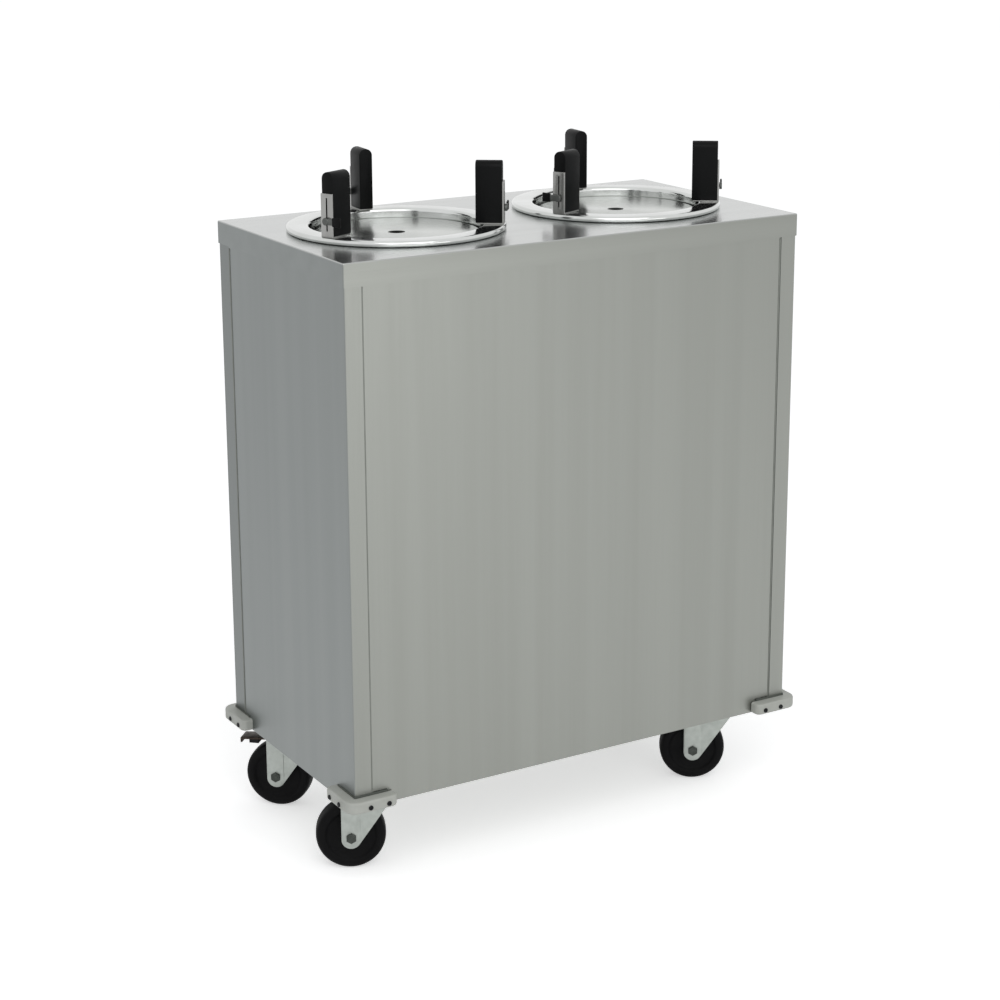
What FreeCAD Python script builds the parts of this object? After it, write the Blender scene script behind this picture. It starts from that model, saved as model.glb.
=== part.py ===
import FreeCAD, Part
import math
import os
import re
import Sketcher

# A mobile heated plate dispenser with two wells. The frame is +Z up, X across the cabinet, the front
# facing -Y, and the origin on the floor under the middle of the cabinet.

# Driving sizes, in millimetres
SIZES = {
    # Cabinet sheet metal
    "body_width": 750,
    "body_depth": 402,
    "body_height": 774,
    "caster_height": 130,
    "deck_sheet": 1.5,
    "panel_sheet": 1.2,
    "pan_sheet": 1.5,
    "pan_wall": 28,
    "lip_height": 33,
    "return_width": 26,
    "panel_gap": 0.3,
    "channel_width": 70,
    "channel_wall": 24,
    "channel_sheet": 3,
    # Corner bumpers and their screws
    "bumper_reach": 15.5,
    "bumper_leg": 60,
    "bumper_height": 17,
    "bumper_corner_round": 18,
    "bumper_end_round": 9,
    "bumper_edge_round": 3,
    "screw_first": 16,
    "screw_pitch": 29,
    "screw_rise": 6.5,
    "screw_radius": 2,
    "screw_hole_radius": 2.4,
    "screw_head_radius": 3.6,
    "screw_head": 2,
    "screw_grip": 8,
    # Caster mountings
    "caster_inset_across": 73,
    "caster_inset_along": 81,
    "plate_across": 60,
    "plate_along": 92,
    "plate_sheet": 3,
    "bolt_pitch_across": 44.5,
    "bolt_pitch_along": 73,
    "bolt_radius": 4,
    "bolt_hole_radius": 4.4,
    "bolt_head_radius": 6.5,
    "bolt_head": 5,
    "bolt_tail": 4,
    "raceway_radius": 26,
    "raceway_height": 9,
    "kingpin_radius": 6,
    "kingpin_head_radius": 9,
    "kingpin_head": 4,
    # Swivel forks, wheels and axles
    "caster_trail": 35,
    "swivel_gap": 0.3,
    "running_gap": 0.05,
    "fork_width": 46,
    "fork_sheet": 3,
    "crown_sheet": 4,
    "crown_front": 28,
    "leg_radius": 14,
    "leg_drop": 3,
    "caster_head": 28.4,
    "wheel_width": 32,
    "tread_round": 6,
    "hub_radius": 15,
    "tread_depth": 14.8,
    "web_width": 24,
    "axle_radius": 5,
    "axle_head_radius": 8,
    "axle_head": 5,
    # Brake pedals
    "pedal_set_back": 20,
    "pedal_drop": 4.5,
    "pedal_pin_radius": 2.5,
    "pedal_hub_radius": 3.6,
    "pedal_sheet": 3,
    "pedal_width": 26,
    "pedal_reach": 74,
    "pedal_fall": 4.5,
    "pedal_lip": 5,
    "shoe_set_back": 65,
    "shoe_length": 15,
    "shoe_width": 24,
    "shoe_drop": 7,
    # Well tubes and flange rings
    "ring_margin": 31,
    "ring_half_gap": 30,
    "tube_set_in": 31,
    "tube_sheet": 1.2,
    "lip_set_in": 5,
    "tube_seat": 6,
    "tube_floor_gap": 68,
    "slot_width": 16,
    "slot_margin": 12,
    "slot_floor": 76.5,
    "ring_width": 33,
    "ring_height": 9,
    "ring_sheet": 1.2,
    "ring_round": 5,
    "ring_skirt": 10,
    # Plate carriers, their hangers and springs
    "carrier_gap": 4,
    "carrier_drop": 4.5,
    "carrier_sheet": 1.5,
    "carrier_edge": 14,
    "carrier_hole_radius": 12,
    "hanger_length": 190,
    "hanger_sheet": 3,
    "hub_width": 12,
    "strap_set_in": 8,
    "strap_width": 10,
    "arm_reach": 17,
    "spring_set_out": 10.5,
    "spring_radius": 6,
    "spring_wire": 1.2,
    # Heating elements
    "heater_set_in": 31,
    "heater_rod_radius": 4.5,
    "heater_rise": 35,
    "heater_leg_radius": 3,
    # Guide posts
    "guide_set_in": 5,
    "guide_depth": 38,
    "guide_width": 20,
    "guide_height": 90,
    "guide_travel": 11,
    "foot_sheet": 2,
    "foot_set_back": 2,
    "strip_sheet": 2.5,
    "strip_top_gap": 29,
    "tongue_set_in": 5,
    "tongue_length": 8,
    "tongue_width": 6,
    "tongue_drop": 5,
    "tongue_gap": 0.4,
    # Clamp levers
    "lever_rise": 23,
    "lever_pin_radius": 2.5,
    "lever_hub_radius": 6,
    "lever_hub": 4,
    "lever_arm": 3,
    "lever_reach": 26,
    "lever_tip": 7,
    "lever_gap": 0.3,
    # Recessed controls in the back panel
    "control_width": 190,
    "control_height": 90,
    "control_depth": 45,
    "control_rise": 110,
    "control_flange": 12,
    "control_sheet": 1.2,
    "fit_gap": 0.2,
    "thermostat_offset": 55,
    "thermostat_radius": 18,
    "thermostat_depth": 30,
    "bushing_radius": 5,
    "bushing_length": 4,
    "shaft_radius": 3,
    "shaft_length": 18,
    "knob_radius": 17,
    "knob_height": 15,
    "knob_cap": 4,
    "knob_gap": 1,
    "pointer_width": 3,
    "pointer_height": 2,
    "switch_width": 26,
    "switch_height": 34,
    "switch_depth": 20,
    "switch_well": 14,
    "bezel_margin": 3,
    "bezel_sheet": 2,
    "rocker_width": 18,
    "rocker_height": 22,
    "rocker_front": 6,
    "rocker_back": 5,
    "rocker_set_back": 4,
    "rocker_side_gap": 0.5,
    "rocker_end_gap": 2,
    "rocker_pin_radius": 1.5,
    "rocker_pin_gap": 0.3,
    "gland_offset": 60,
    "gland_bore_radius": 4.5,
    "gland_neck_radius": 8,
    "gland_flange_radius": 12,
    "gland_flange": 4,
    "gland_nose": 9,
    "gland_tail": 12,
    # Every cut runs past its far face by this much
    "overrun": 2,
}

# Angles in degrees, directions and counts
GUIDE_ANGLES = {"back": 84, "front_left": 204, "front_right": 324}
HANGER_TURN = 30
ROCKER_TILT = -9
FULL_TURN = 360
COPIES_ROUND = 3
HEX_SIDES = 6
SCREWS_PER_LEG = 2
SIDES = {"left": -1, "right": 1}
CORNERS = ((-1, -1), (-1, 1), (1, -1), (1, 1))
# Clamp levers point round their well: 1 counter-clockwise, -1 clockwise
LEVER_SENSE = {
    "left": {"back": 1, "front_left": 1, "front_right": 1},
    "right": {"back": 1, "front_left": -1, "front_right": 1},
}
# Each caster's sides across and along, its turn at rest, and which casters have a brake
CASTER_SIDES = {"front_left": (-1, -1), "rear_left": (-1, 1), "front_right": (1, -1), "rear_right": (1, 1)}
CASTER_ANGLES = {"front_left": -26, "rear_left": -43.5, "front_right": -31, "rear_right": -36}
BRAKED = ("rear_left", "rear_right")

# Outside bend of folded sheet, as a share of the sheet
BEND_SHARE = 1.3
# Where a fork leg's sloping edge leaves its round foot, as shares of the foot's radius
LEG_FRONT_SHARES = (0.83, 0.55)

# Edges are told apart by their places to this accuracy
SAME_PLACE = 1e-4
LEVEL_DIGITS = 4

# Places that follow from the sizes, each a formula of them
half_width = "(body_width / 2)"
half_depth = "(body_depth / 2)"
deck_top = "(caster_height + body_height)"
panel_top = f"({deck_top} - deck_sheet)"
lip_bottom = f"({deck_top} - lip_height)"
panel_x = f"({half_width} - deck_sheet)"
panel_y = f"({half_depth} - deck_sheet)"
inner_x = f"({panel_x} - panel_sheet)"
front_y = f"({panel_y} - panel_sheet)"
inner_y = f"({front_y} - panel_sheet)"
pan_top = "(caster_height + pan_sheet)"
channel_top = f"({pan_top} + channel_sheet)"
bumper_x = f"({half_width} + bumper_reach)"
bumper_y = f"({half_depth} + bumper_reach)"

ring_outer_radius = f"(({half_width} - ring_margin - ring_half_gap) / 2)"
ring_inner_radius = f"({ring_outer_radius} - ring_width)"
tube_x = f"(ring_half_gap + {ring_outer_radius})"
tube_radius = f"({ring_outer_radius} - tube_set_in)"
tube_lip_radius = f"({ring_outer_radius} - lip_set_in)"
tube_outer = f"({tube_radius} + tube_sheet)"
tube_bottom = f"({pan_top} + tube_floor_gap)"
deck_hole = f"({tube_lip_radius} - tube_seat)"
ring_top = f"({deck_top} + ring_height)"
carrier_top = f"({deck_top} - carrier_drop)"
carrier_under = f"({carrier_top} - carrier_sheet)"
hanger_low = f"({carrier_under} - hanger_length)"
arm_top = f"({hanger_low} + hanger_sheet)"
slot_low = f"({tube_bottom} + slot_floor)"
carrier_radius = f"({ring_inner_radius} - carrier_gap)"
strap_radius = f"({carrier_radius} - strap_set_in)"
hanger_hub_radius = f"({strap_radius} - hub_width)"
arm_radius = f"({tube_radius} + arm_reach)"
spring_circle = f"({tube_radius} + spring_set_out)"
heater_radius = f"({tube_radius} - heater_set_in)"

caster_x = f"({half_width} - caster_inset_across)"
caster_y = f"({half_depth} - caster_inset_along)"
plate_under = "(caster_height - plate_sheet)"
raceway_under = f"({plate_under} - raceway_height)"
crown_top = f"({raceway_under} - swivel_gap)"
crown_under = f"({crown_top} - crown_sheet)"
wheel_radius = "((caster_height - caster_head) / 2)"
web_radius = f"({wheel_radius} - tread_depth)"
fork_half = "(fork_width / 2)"
foot_height = f"({wheel_radius} - leg_drop)"
pedal_pivot = f"({crown_under} - pedal_drop)"

guide_outer = f"({ring_outer_radius} - guide_set_in)"
guide_inner = f"({guide_outer} - guide_depth)"
tongue_outer = f"({guide_outer} - tongue_set_in)"
foot_top = f"({ring_top} + foot_sheet)"
guide_top = f"({ring_top} + guide_height)"
strip_outer = f"({guide_outer} + strip_sheet)"
strip_top = f"({guide_top} - strip_top_gap)"
lever_height = f"({ring_top} + lever_rise)"

control_low = "(caster_height + control_rise)"
control_high = f"({control_low} + control_height)"
control_middle = f"({control_low} + control_height / 2)"
recess_y = f"({front_y} - control_depth)"
face_y = f"({recess_y} + control_sheet)"
rocker_pivot = f"({face_y} + bezel_sheet - rocker_set_back)"

ORIGIN = FreeCAD.Vector(0, 0, 0)
AXES = {"x": FreeCAD.Vector(1, 0, 0), "y": FreeCAD.Vector(0, 1, 0), "z": FreeCAD.Vector(0, 0, 1)}
ROD_TURNS = {
    "x": FreeCAD.Rotation(AXES["y"], 90),
    "y": FreeCAD.Rotation(AXES["x"], -90),
    "z": FreeCAD.Rotation(),
}
WORD = re.compile(r"[a-z][a-z0-9_]*")

doc = FreeCAD.newDocument("plate_dispenser")
sheet = doc.addObject("Spreadsheet::Sheet", "sizes")
for row, (alias, number) in enumerate(SIZES.items(), 1):
    sheet.set(f"A{row}", alias)
    sheet.set(f"B{row}", str(number))
    sheet.setAlias(f"B{row}", alias)
doc.recompute()

nodes = []


def keep(thing, name):
    """Name a finished piece and list it among the nodes."""
    thing.Label = name
    nodes.append(thing)
    return thing


def through_sheet(formula):
    """Address every named size in a formula through the sheet."""
    return WORD.sub(lambda word: ("sizes." if word[0] in SIZES else "") + word[0], formula)


def bind(thing, prop, formula):
    thing.setExpression(prop, through_sheet(formula))


def place(thing, x="0", y="0", z="0", turn=0, about="z"):
    """Turn a piece about an axis and bind its place to the sizes."""
    thing.Placement = FreeCAD.Placement(ORIGIN, FreeCAD.Rotation(AXES[about], turn))
    for letter, formula in zip("xyz", (x, y, z)):
        bind(thing, f"Placement.Base.{letter}", formula)
    return thing


# Boxes, rods and the booleans that join them


def box(x, y, z):
    """A block between pairs of formulas, low and high along each axis."""
    block = doc.addObject("Part::Box", "block")
    for side, letter, (low, high) in zip(("Length", "Width", "Height"), "xyz", (x, y, z)):
        bind(block, side, f"({high}) - ({low})")
        bind(block, f"Placement.Base.{letter}", low)
    return block


def rod(along, centre, radius, low, high):
    """A round rod along one axis; centre gives its coordinates on the two others."""
    bar = doc.addObject("Part::Cylinder", "rod")
    bind(bar, "Radius", radius)
    bind(bar, "Height", f"({high}) - ({low})")
    bar.Placement = FreeCAD.Placement(ORIGIN, ROD_TURNS[along])
    for letter, formula in {**centre, along: low}.items():
        bind(bar, f"Placement.Base.{letter}", formula)
    return bar


def cut(base, tool):
    result = doc.addObject("Part::Cut", "cut")
    result.Base = base
    result.Tool = tool
    return result


def fuse(*pieces):
    result = doc.addObject("Part::MultiFuse", "joined")
    result.Shapes = list(pieces)
    return result


def group(pieces):
    result = doc.addObject("Part::Compound", "group")
    result.Links = list(pieces)
    return result


def about(middle, half):
    """Low and high formulas half a width either side of a middle."""
    return f"{middle} - ({half})", f"{middle} + ({half})"


def outward(side, inside, outside):
    """Low and high formulas of a span from inside to outside on one side of the middle plane."""
    return (inside, outside) if side > 0 else (f"-({outside})", f"-({inside})")


# Sketched bodies


def new_body():
    return doc.addObject("PartDesign::Body", "piece")


def sketch_on(body, plane, shift):
    """A sketch on one of the body's own origin planes, moved by formulas in the plane's axes."""
    support = next(item for item in body.Origin.OriginFeatures if item.Role == plane)
    sketch = body.newObject("Sketcher::SketchObject", "sketch")
    sketch.AttachmentSupport = [(support, "")]
    sketch.MapMode = "FlatFace"
    for letter, formula in zip("xyz", shift):
        bind(sketch, f"AttachmentOffset.Base.{letter}", formula)
    return sketch


def fix(sketch, item, point, start, x, y):
    """Hold a point of a sketch, drawn at start, at formulas of the sizes."""
    for kind, now, formula in (("DistanceX", start.x, x), ("DistanceY", start.y, y)):
        held = sketch.addConstraint(Sketcher.Constraint(kind, -1, 1, item, point, now))
        bind(sketch, f"Constraints[{held}]", formula)


def outline(body, plane, corners, shift=("0", "0", "0")):
    """A closed outline of straight edges with its corners at formulas."""
    sketch = sketch_on(body, plane, shift)
    count = len(corners)
    turn = 2 * math.pi / count
    start = [FreeCAD.Vector(math.cos(turn * step), math.sin(turn * step), 0) for step in range(count)]
    for step in range(count):
        sketch.addGeometry(Part.LineSegment(start[step], start[(step + 1) % count]))
    for step in range(count):
        sketch.addConstraint(Sketcher.Constraint("Coincident", step, 2, (step + 1) % count, 1))
    for step, (x, y) in enumerate(corners):
        fix(sketch, step, 1, start[step], x, y)
    return sketch


def circles(body, plane, centres, radius, shift=("0", "0", "0")):
    """Circles of one radius with their centres at formulas."""
    sketch = sketch_on(body, plane, shift)
    for x, y in centres:
        ring = sketch.addGeometry(Part.Circle(ORIGIN, AXES["z"], 1))
        fix(sketch, ring, 3, ORIGIN, x, y)
        held = sketch.addConstraint(Sketcher.Constraint("Radius", ring, 1))
        bind(sketch, f"Constraints[{held}]", radius)
    return sketch


def rectangle(x, y):
    """The corners of a rectangle between pairs of formulas."""
    return [(x[0], y[0]), (x[1], y[0]), (x[1], y[1]), (x[0], y[1])]


def hexagon(x, y, radius):
    """The corners of a hexagon about a centre."""
    corners = []
    for step in range(HEX_SIDES):
        turn = 2 * math.pi * step / HEX_SIDES
        corner_x = f"{x} + {math.cos(turn):.6f} * ({radius})"
        corner_y = f"{y} + {math.sin(turn):.6f} * ({radius})"
        corners.append((corner_x, corner_y))
    return corners


def extrude(body, kind, sketch, length, symmetric=False, backwards=False):
    feature = body.newObject(f"PartDesign::{kind}", kind.lower())
    feature.Profile = sketch
    bind(feature, "Length", length)
    feature.SideType = "Symmetric" if symmetric else "One side"
    feature.Reversed = backwards
    return feature


def pad(body, sketch, length, **options):
    return extrude(body, "Pad", sketch, length, **options)


def pocket(body, sketch, length, **options):
    """Cut a sketch into the body, and make sure that it takes something away."""
    doc.recompute()
    before = body.Shape.Volume
    feature = extrude(body, "Pocket", sketch, length, **options)
    doc.recompute()
    if body.Shape.Volume >= before:
        raise RuntimeError(f"a pocket of {body.Label} cuts nothing")
    return feature


def revolve(body, sketch):
    feature = body.newObject("PartDesign::Revolution", "turned")
    feature.Profile = sketch
    feature.ReferenceAxis = (sketch, ["V_Axis"])
    feature.Angle = FULL_TURN
    return feature


def repeat_round(body, feature):
    """Repeat a feature three times round the body's own upright axis."""
    pattern = body.newObject("PartDesign::PolarPattern", "pattern")
    pattern.Originals = [feature]
    pattern.Axis = (next(item for item in body.Origin.OriginFeatures if item.Role == "Z_Axis"), [""])
    pattern.Angle = FULL_TURN
    pattern.Occurrences = COPIES_ROUND
    body.Tip = pattern
    return pattern


def round_edges(body, radius, wanted):
    """Round the edges of the body that a test picks."""
    doc.recompute()
    last = body.Tip
    names = [f"Edge{i}" for i, edge in enumerate(last.Shape.Edges, 1) if wanted(edge, last.Shape.BoundBox)]
    if not names:
        raise RuntimeError(f"no edge of {body.Label} to round")
    fillet = body.newObject("PartDesign::Fillet", "rounded")
    fillet.Base = (last, names)
    bind(fillet, "Radius", radius)
    return fillet


def near(first, second):
    return math.isclose(first, second, abs_tol=SAME_PLACE)


def upright(edge):
    ends = edge.BoundBox
    return near(ends.XMin, ends.XMax) and near(ends.YMin, ends.YMax)


def is_hoop(edge, radius_test):
    return isinstance(edge.Curve, Part.Circle) and radius_test(edge.Curve.Radius)


# Cabinet


def make_top_deck():
    body = new_body()
    lift = ("0", "0", lip_bottom)
    block = outline(body, "XY_Plane", rectangle(about("0", half_width), about("0", half_depth)), lift)
    pad(body, block, "lip_height")
    hollow = outline(body, "XY_Plane", rectangle(about("0", panel_x), about("0", panel_y)), lift)
    pocket(body, hollow, "lip_height - deck_sheet", backwards=True)
    wells = [(f"{side} * {tube_x}", "0") for side in SIDES.values()]
    holes = circles(body, "XY_Plane", wells, deck_hole, ("0", "0", deck_top))
    pocket(body, holes, "deck_sheet + overrun")

    def outer_bend(edge, ends):
        spot = edge.CenterOfMass
        on_side = near(abs(spot.x), ends.XMax) or near(abs(spot.y), ends.YMax)
        return on_side and (near(spot.z, ends.ZMax) or upright(edge))

    round_edges(body, f"deck_sheet * {BEND_SHARE}", outer_bend)
    return body


def make_side_panel(side):
    body = new_body()
    folded = f"{panel_x} - return_width"
    half = [(panel_x, panel_y), (folded, panel_y), (folded, front_y), (inner_x, front_y)]
    section = half + [(x, f"-{y}") for x, y in reversed(half)]
    section = [(f"{side} * ({x})", y) for x, y in section]
    pad(body, outline(body, "XY_Plane", section, ("0", "0", "caster_height")), f"{panel_top} - caster_height")

    def outer_bend(edge, ends):
        spot = edge.CenterOfMass
        on_corner = near(abs(spot.x), max(abs(ends.XMin), ends.XMax)) and near(abs(spot.y), ends.YMax)
        return upright(edge) and on_corner

    round_edges(body, f"panel_sheet * {BEND_SHARE}", outer_bend)
    return body


def make_front_or_back_panel(side):
    across = about("0", f"{inner_x} - panel_gap")
    return box(across, outward(side, inner_y, front_y), ("caster_height", panel_top))


def make_base_pan():
    tray = box(about("0", inner_x), about("0", inner_y), ("caster_height", "caster_height + pan_wall"))
    hollow_x = about("0", f"{inner_x} - pan_sheet")
    hollow_y = about("0", f"{inner_y} - pan_sheet")
    return cut(tray, box(hollow_x, hollow_y, (pan_top, "caster_height + pan_wall + overrun")))


def make_caster_channel(side):
    middle = f"{side} * {caster_x}"
    length = about("0", f"{inner_y} - pan_sheet - screw_grip")
    bar = box(about(middle, "channel_width / 2"), length, (pan_top, f"{pan_top} + channel_wall"))
    trough = about(middle, "channel_width / 2 - channel_sheet")
    return cut(bar, box(trough, length, (channel_top, f"{pan_top} + channel_wall + overrun")))


def make_bumper(across, along):
    body = new_body()
    tip_x = f"({panel_x} - bumper_leg)"
    tip_y = f"({panel_y} - bumper_leg)"
    corners = [(tip_x, panel_y), (tip_x, bumper_y), (bumper_x, bumper_y), (bumper_x, tip_y), (panel_x, tip_y)]
    corners.append((panel_x, panel_y))
    plan = [(f"{across} * {x}", f"{along} * {y}") for x, y in corners]
    pad(body, outline(body, "XY_Plane", plan, ("0", "0", "caster_height")), "bumper_height")
    wall_x = SIZES["body_width"] / 2 - SIZES["deck_sheet"]
    wall_y = SIZES["body_depth"] / 2 - SIZES["deck_sheet"]

    def outside(edge, ends):
        """How many of the two outer sides an upright edge lies on."""
        spot = edge.CenterOfMass
        far_x = max(abs(ends.XMin), abs(ends.XMax))
        far_y = max(abs(ends.YMin), abs(ends.YMax))
        return near(abs(spot.x), far_x) + near(abs(spot.y), far_y) if upright(edge) else 0

    def outer_rim(edge, ends):
        """Top and bottom edges, apart from those against the cabinet."""
        spot = edge.CenterOfMass
        level = near(spot.z, ends.ZMax) or near(spot.z, ends.ZMin)
        against = near(abs(spot.x), wall_x) or near(abs(spot.y), wall_y)
        return level and not against

    round_edges(body, "bumper_corner_round", lambda edge, ends: outside(edge, ends) == 2)
    round_edges(body, "bumper_end_round", lambda edge, ends: outside(edge, ends) == 1)
    round_edges(body, "bumper_edge_round", outer_rim)
    return body


def bumper_screws():
    """Each screw's axis, its centre, and its side, one after another."""
    for across, along in CORNERS:
        for step in range(SCREWS_PER_LEG):
            reach = f"screw_first + {step} * screw_pitch"
            height = "caster_height + screw_rise"
            yield "y", {"x": f"{across} * ({panel_x} - ({reach}))", "z": height}, along, panel_y, bumper_y
            yield "x", {"y": f"{along} * ({panel_y} - ({reach}))", "z": height}, across, panel_x, bumper_x


def make_screw(axis, centre, side, wall, face):
    shank = rod(axis, centre, "screw_radius", *outward(side, f"{wall} - screw_grip", face))
    head = rod(axis, centre, "screw_head_radius", *outward(side, face, f"{face} + screw_head"))
    return fuse(shank, head)


def make_screw_hole(axis, centre, side, wall, face):
    span = outward(side, f"{wall} - screw_grip - overrun", f"{face} + overrun")
    return rod(axis, centre, "screw_hole_radius", *span)


# Caster mountings


def bolt_centres():
    for across, along in CORNERS:
        for step_x, step_y in CORNERS:
            x = f"{across} * {caster_x} + {step_x} * bolt_pitch_across / 2"
            y = f"{along} * {caster_y} + {step_y} * bolt_pitch_along / 2"
            yield {"x": x, "y": y}


def make_bolt(centre):
    nut_top = f"{channel_top} + bolt_head"
    shank = rod("z", centre, "bolt_radius", f"{plate_under} - bolt_head", f"{nut_top} + bolt_tail")
    head = rod("z", centre, "bolt_head_radius", f"{plate_under} - bolt_head", plate_under)
    nut = rod("z", centre, "bolt_head_radius", channel_top, nut_top)
    return fuse(shank, head, nut)


def make_bolt_hole(centre):
    return rod("z", centre, "bolt_hole_radius", f"{plate_under} - overrun", f"{channel_top} + overrun")


def make_caster_plate(across, along):
    middle = {"x": f"{across} * {caster_x}", "y": f"{along} * {caster_y}"}
    flat_x = about(middle["x"], "plate_across / 2")
    flat_y = about(middle["y"], "plate_along / 2")
    flat = box(flat_x, flat_y, (plate_under, "caster_height"))
    raceway = rod("z", middle, "raceway_radius", raceway_under, plate_under)
    head_top = f"{crown_under} - swivel_gap"
    kingpin = rod("z", middle, "kingpin_radius", f"{head_top} - kingpin_head", plate_under)
    head = rod("z", middle, "kingpin_head_radius", f"{head_top} - kingpin_head", head_top)
    return fuse(flat, raceway, kingpin, head)


# Swivel casters: local X runs from the axle towards the kingpin, local Z is the kingpin's axis


def at_caster(body, across, along, yaw):
    return place(body, f"{across} * {caster_x}", f"{along} * {caster_y}", "0", yaw)


def make_fork(braked):
    body = new_body()
    back = "-caster_trail - leg_radius"
    share_x, share_z = LEG_FRONT_SHARES
    foot_front = f"-caster_trail + {share_x} * leg_radius", f"{foot_height} - {share_z} * leg_radius"
    side = [(back, foot_height), foot_front, ("crown_front", crown_under), ("crown_front", crown_top)]
    side.append((back, crown_top))
    pad(body, outline(body, "XZ_Plane", side), "fork_width", symmetric=True)
    foot = [("-caster_trail", foot_height)]
    pad(body, circles(body, "XZ_Plane", foot, "leg_radius"), "fork_width", symmetric=True)
    gap_x = (f"{back} - overrun", "crown_front + overrun")
    gap_z = (f"{foot_height} - leg_radius - overrun", crown_under)
    gap = outline(body, "XZ_Plane", rectangle(gap_x, gap_z))
    pocket(body, gap, "fork_width - 2 * fork_sheet", symmetric=True)
    axle = [("-caster_trail", wheel_radius)]
    axle_bore = circles(body, "XZ_Plane", axle, "axle_radius + running_gap")
    pocket(body, axle_bore, "fork_width + overrun", symmetric=True)
    kingpin = circles(body, "XY_Plane", [("0", "0")], "kingpin_radius + running_gap", ("0", "0", crown_top))
    pocket(body, kingpin, "crown_sheet + overrun")
    if braked:
        pivot = [("-pedal_set_back", pedal_pivot)]
        pivot_bore = circles(body, "XZ_Plane", pivot, "pedal_pin_radius + running_gap")
        pocket(body, pivot_bore, "fork_width + overrun", symmetric=True)
    return body


def make_wheel():
    body = new_body()
    hub = f"({fork_half} - fork_sheet - swivel_gap)"
    half = [
        ("axle_radius + running_gap", hub),
        ("hub_radius", hub),
        ("hub_radius", "(web_width / 2)"),
        (web_radius, "(web_width / 2)"),
        (web_radius, "(wheel_width / 2)"),
        (wheel_radius, "(wheel_width / 2)"),
    ]
    section = half + [(radius, f"-{y}") for radius, y in reversed(half)]
    revolve(body, outline(body, "XY_Plane", section, ("-caster_trail", "0", wheel_radius)))
    doc.recompute()
    widest = max(edge.Curve.Radius for edge in body.Shape.Edges if is_hoop(edge, bool))
    round_edges(body, "tread_round", lambda edge, ends: is_hoop(edge, lambda radius: near(radius, widest)))
    return body


def make_axle():
    body = new_body()
    middle = ("-caster_trail", wheel_radius)
    pad(body, circles(body, "XZ_Plane", [middle], "axle_radius"), "fork_width", symmetric=True)
    for start in (fork_half, f"-{fork_half} - axle_head"):
        head = outline(body, "XZ_Plane", hexagon(*middle, "axle_head_radius"), ("0", "0", start))
        pad(body, head, "axle_head")
    return body


def make_brake_pedal():
    body = new_body()
    tip = "-pedal_set_back - pedal_reach"
    inner_tip = f"{tip} + pedal_sheet"
    top = f"{pedal_pivot} + pedal_sheet / 2"
    under = f"{pedal_pivot} - pedal_sheet / 2"
    lip = f"{under} - pedal_fall - pedal_lip"
    inner_fall = "pedal_fall * (pedal_reach - pedal_sheet) / pedal_reach"
    side = [("-pedal_set_back", top), (tip, f"{top} - pedal_fall"), (tip, lip), (inner_tip, lip)]
    side += [(inner_tip, f"{under} - {inner_fall}"), ("-pedal_set_back", under)]
    pad(body, outline(body, "XZ_Plane", side), "pedal_width", symmetric=True)
    shoe_x = ("-shoe_set_back - shoe_length", "-shoe_set_back")
    shoe_top = f"{under} - pedal_fall / 2"
    shoe = rectangle(shoe_x, (f"{shoe_top} - shoe_drop", shoe_top))
    pad(body, outline(body, "XZ_Plane", shoe), "shoe_width", symmetric=True)
    pivot = [("-pedal_set_back", pedal_pivot)]
    pad(body, circles(body, "XZ_Plane", pivot, "pedal_hub_radius"), "pedal_width", symmetric=True)
    pad(body, circles(body, "XZ_Plane", pivot, "pedal_pin_radius"), "fork_width", symmetric=True)
    return body


# Wells


def at_well(body, side, turn=0):
    return place(body, f"{side} * {tube_x}", "0", "0", turn)


def make_flange_ring():
    body = new_body()
    under = f"{ring_top} - ring_sheet"
    skirt_low = f"{deck_top} - ring_skirt"
    section = [
        (ring_outer_radius, deck_top),
        (ring_outer_radius, ring_top),
        (ring_inner_radius, ring_top),
        (ring_inner_radius, skirt_low),
        (f"{ring_inner_radius} + ring_sheet", skirt_low),
        (f"{ring_inner_radius} + ring_sheet", under),
        (f"{ring_outer_radius} - ring_sheet", under),
        (f"{ring_outer_radius} - ring_sheet", deck_top),
    ]
    revolve(body, outline(body, "XZ_Plane", section))
    doc.recompute()
    hoops = [edge for edge in body.Shape.Edges if is_hoop(edge, bool)]
    levels = sorted({round(edge.CenterOfMass.z, LEVEL_DIGITS) for edge in hoops})

    def bend(level):
        return lambda edge, ends: is_hoop(edge, bool) and near(edge.CenterOfMass.z, level)

    round_edges(body, "ring_round - ring_sheet", bend(levels[-2]))
    round_edges(body, "ring_round", bend(levels[-1]))
    slot_x = (f"{tongue_outer} - tongue_length - guide_travel - tongue_gap", f"{tongue_outer} + tongue_gap")
    slot_y = about("0", "tongue_width / 2 + tongue_gap")
    slot = outline(body, "XY_Plane", rectangle(slot_x, slot_y), ("0", "0", ring_top))
    repeat_round(body, pocket(body, slot, "ring_sheet + overrun"))
    return body


def make_tube():
    body = new_body()
    section = [
        (tube_radius, tube_bottom),
        (tube_outer, tube_bottom),
        (tube_outer, deck_top),
        (tube_lip_radius, deck_top),
        (tube_lip_radius, f"{deck_top} + tube_sheet"),
        (tube_radius, f"{deck_top} + tube_sheet"),
    ]
    revolve(body, outline(body, "XZ_Plane", section))
    slot_z = (slot_low, f"{arm_top} + slot_margin")
    slot = outline(body, "YZ_Plane", rectangle(about("0", "slot_width / 2"), slot_z))
    repeat_round(body, pocket(body, slot, f"{tube_outer} + overrun", backwards=True))
    return body


def make_heater():
    body = new_body()
    middle = f"{pan_top} + heater_rise"
    revolve(body, circles(body, "XZ_Plane", [(heater_radius, middle)], "heater_rod_radius"))
    foot = circles(body, "XY_Plane", [(heater_radius, "0")], "heater_leg_radius", ("0", "0", pan_top))
    repeat_round(body, pad(body, foot, "heater_rise"))
    return body


# Plate carriers


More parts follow.
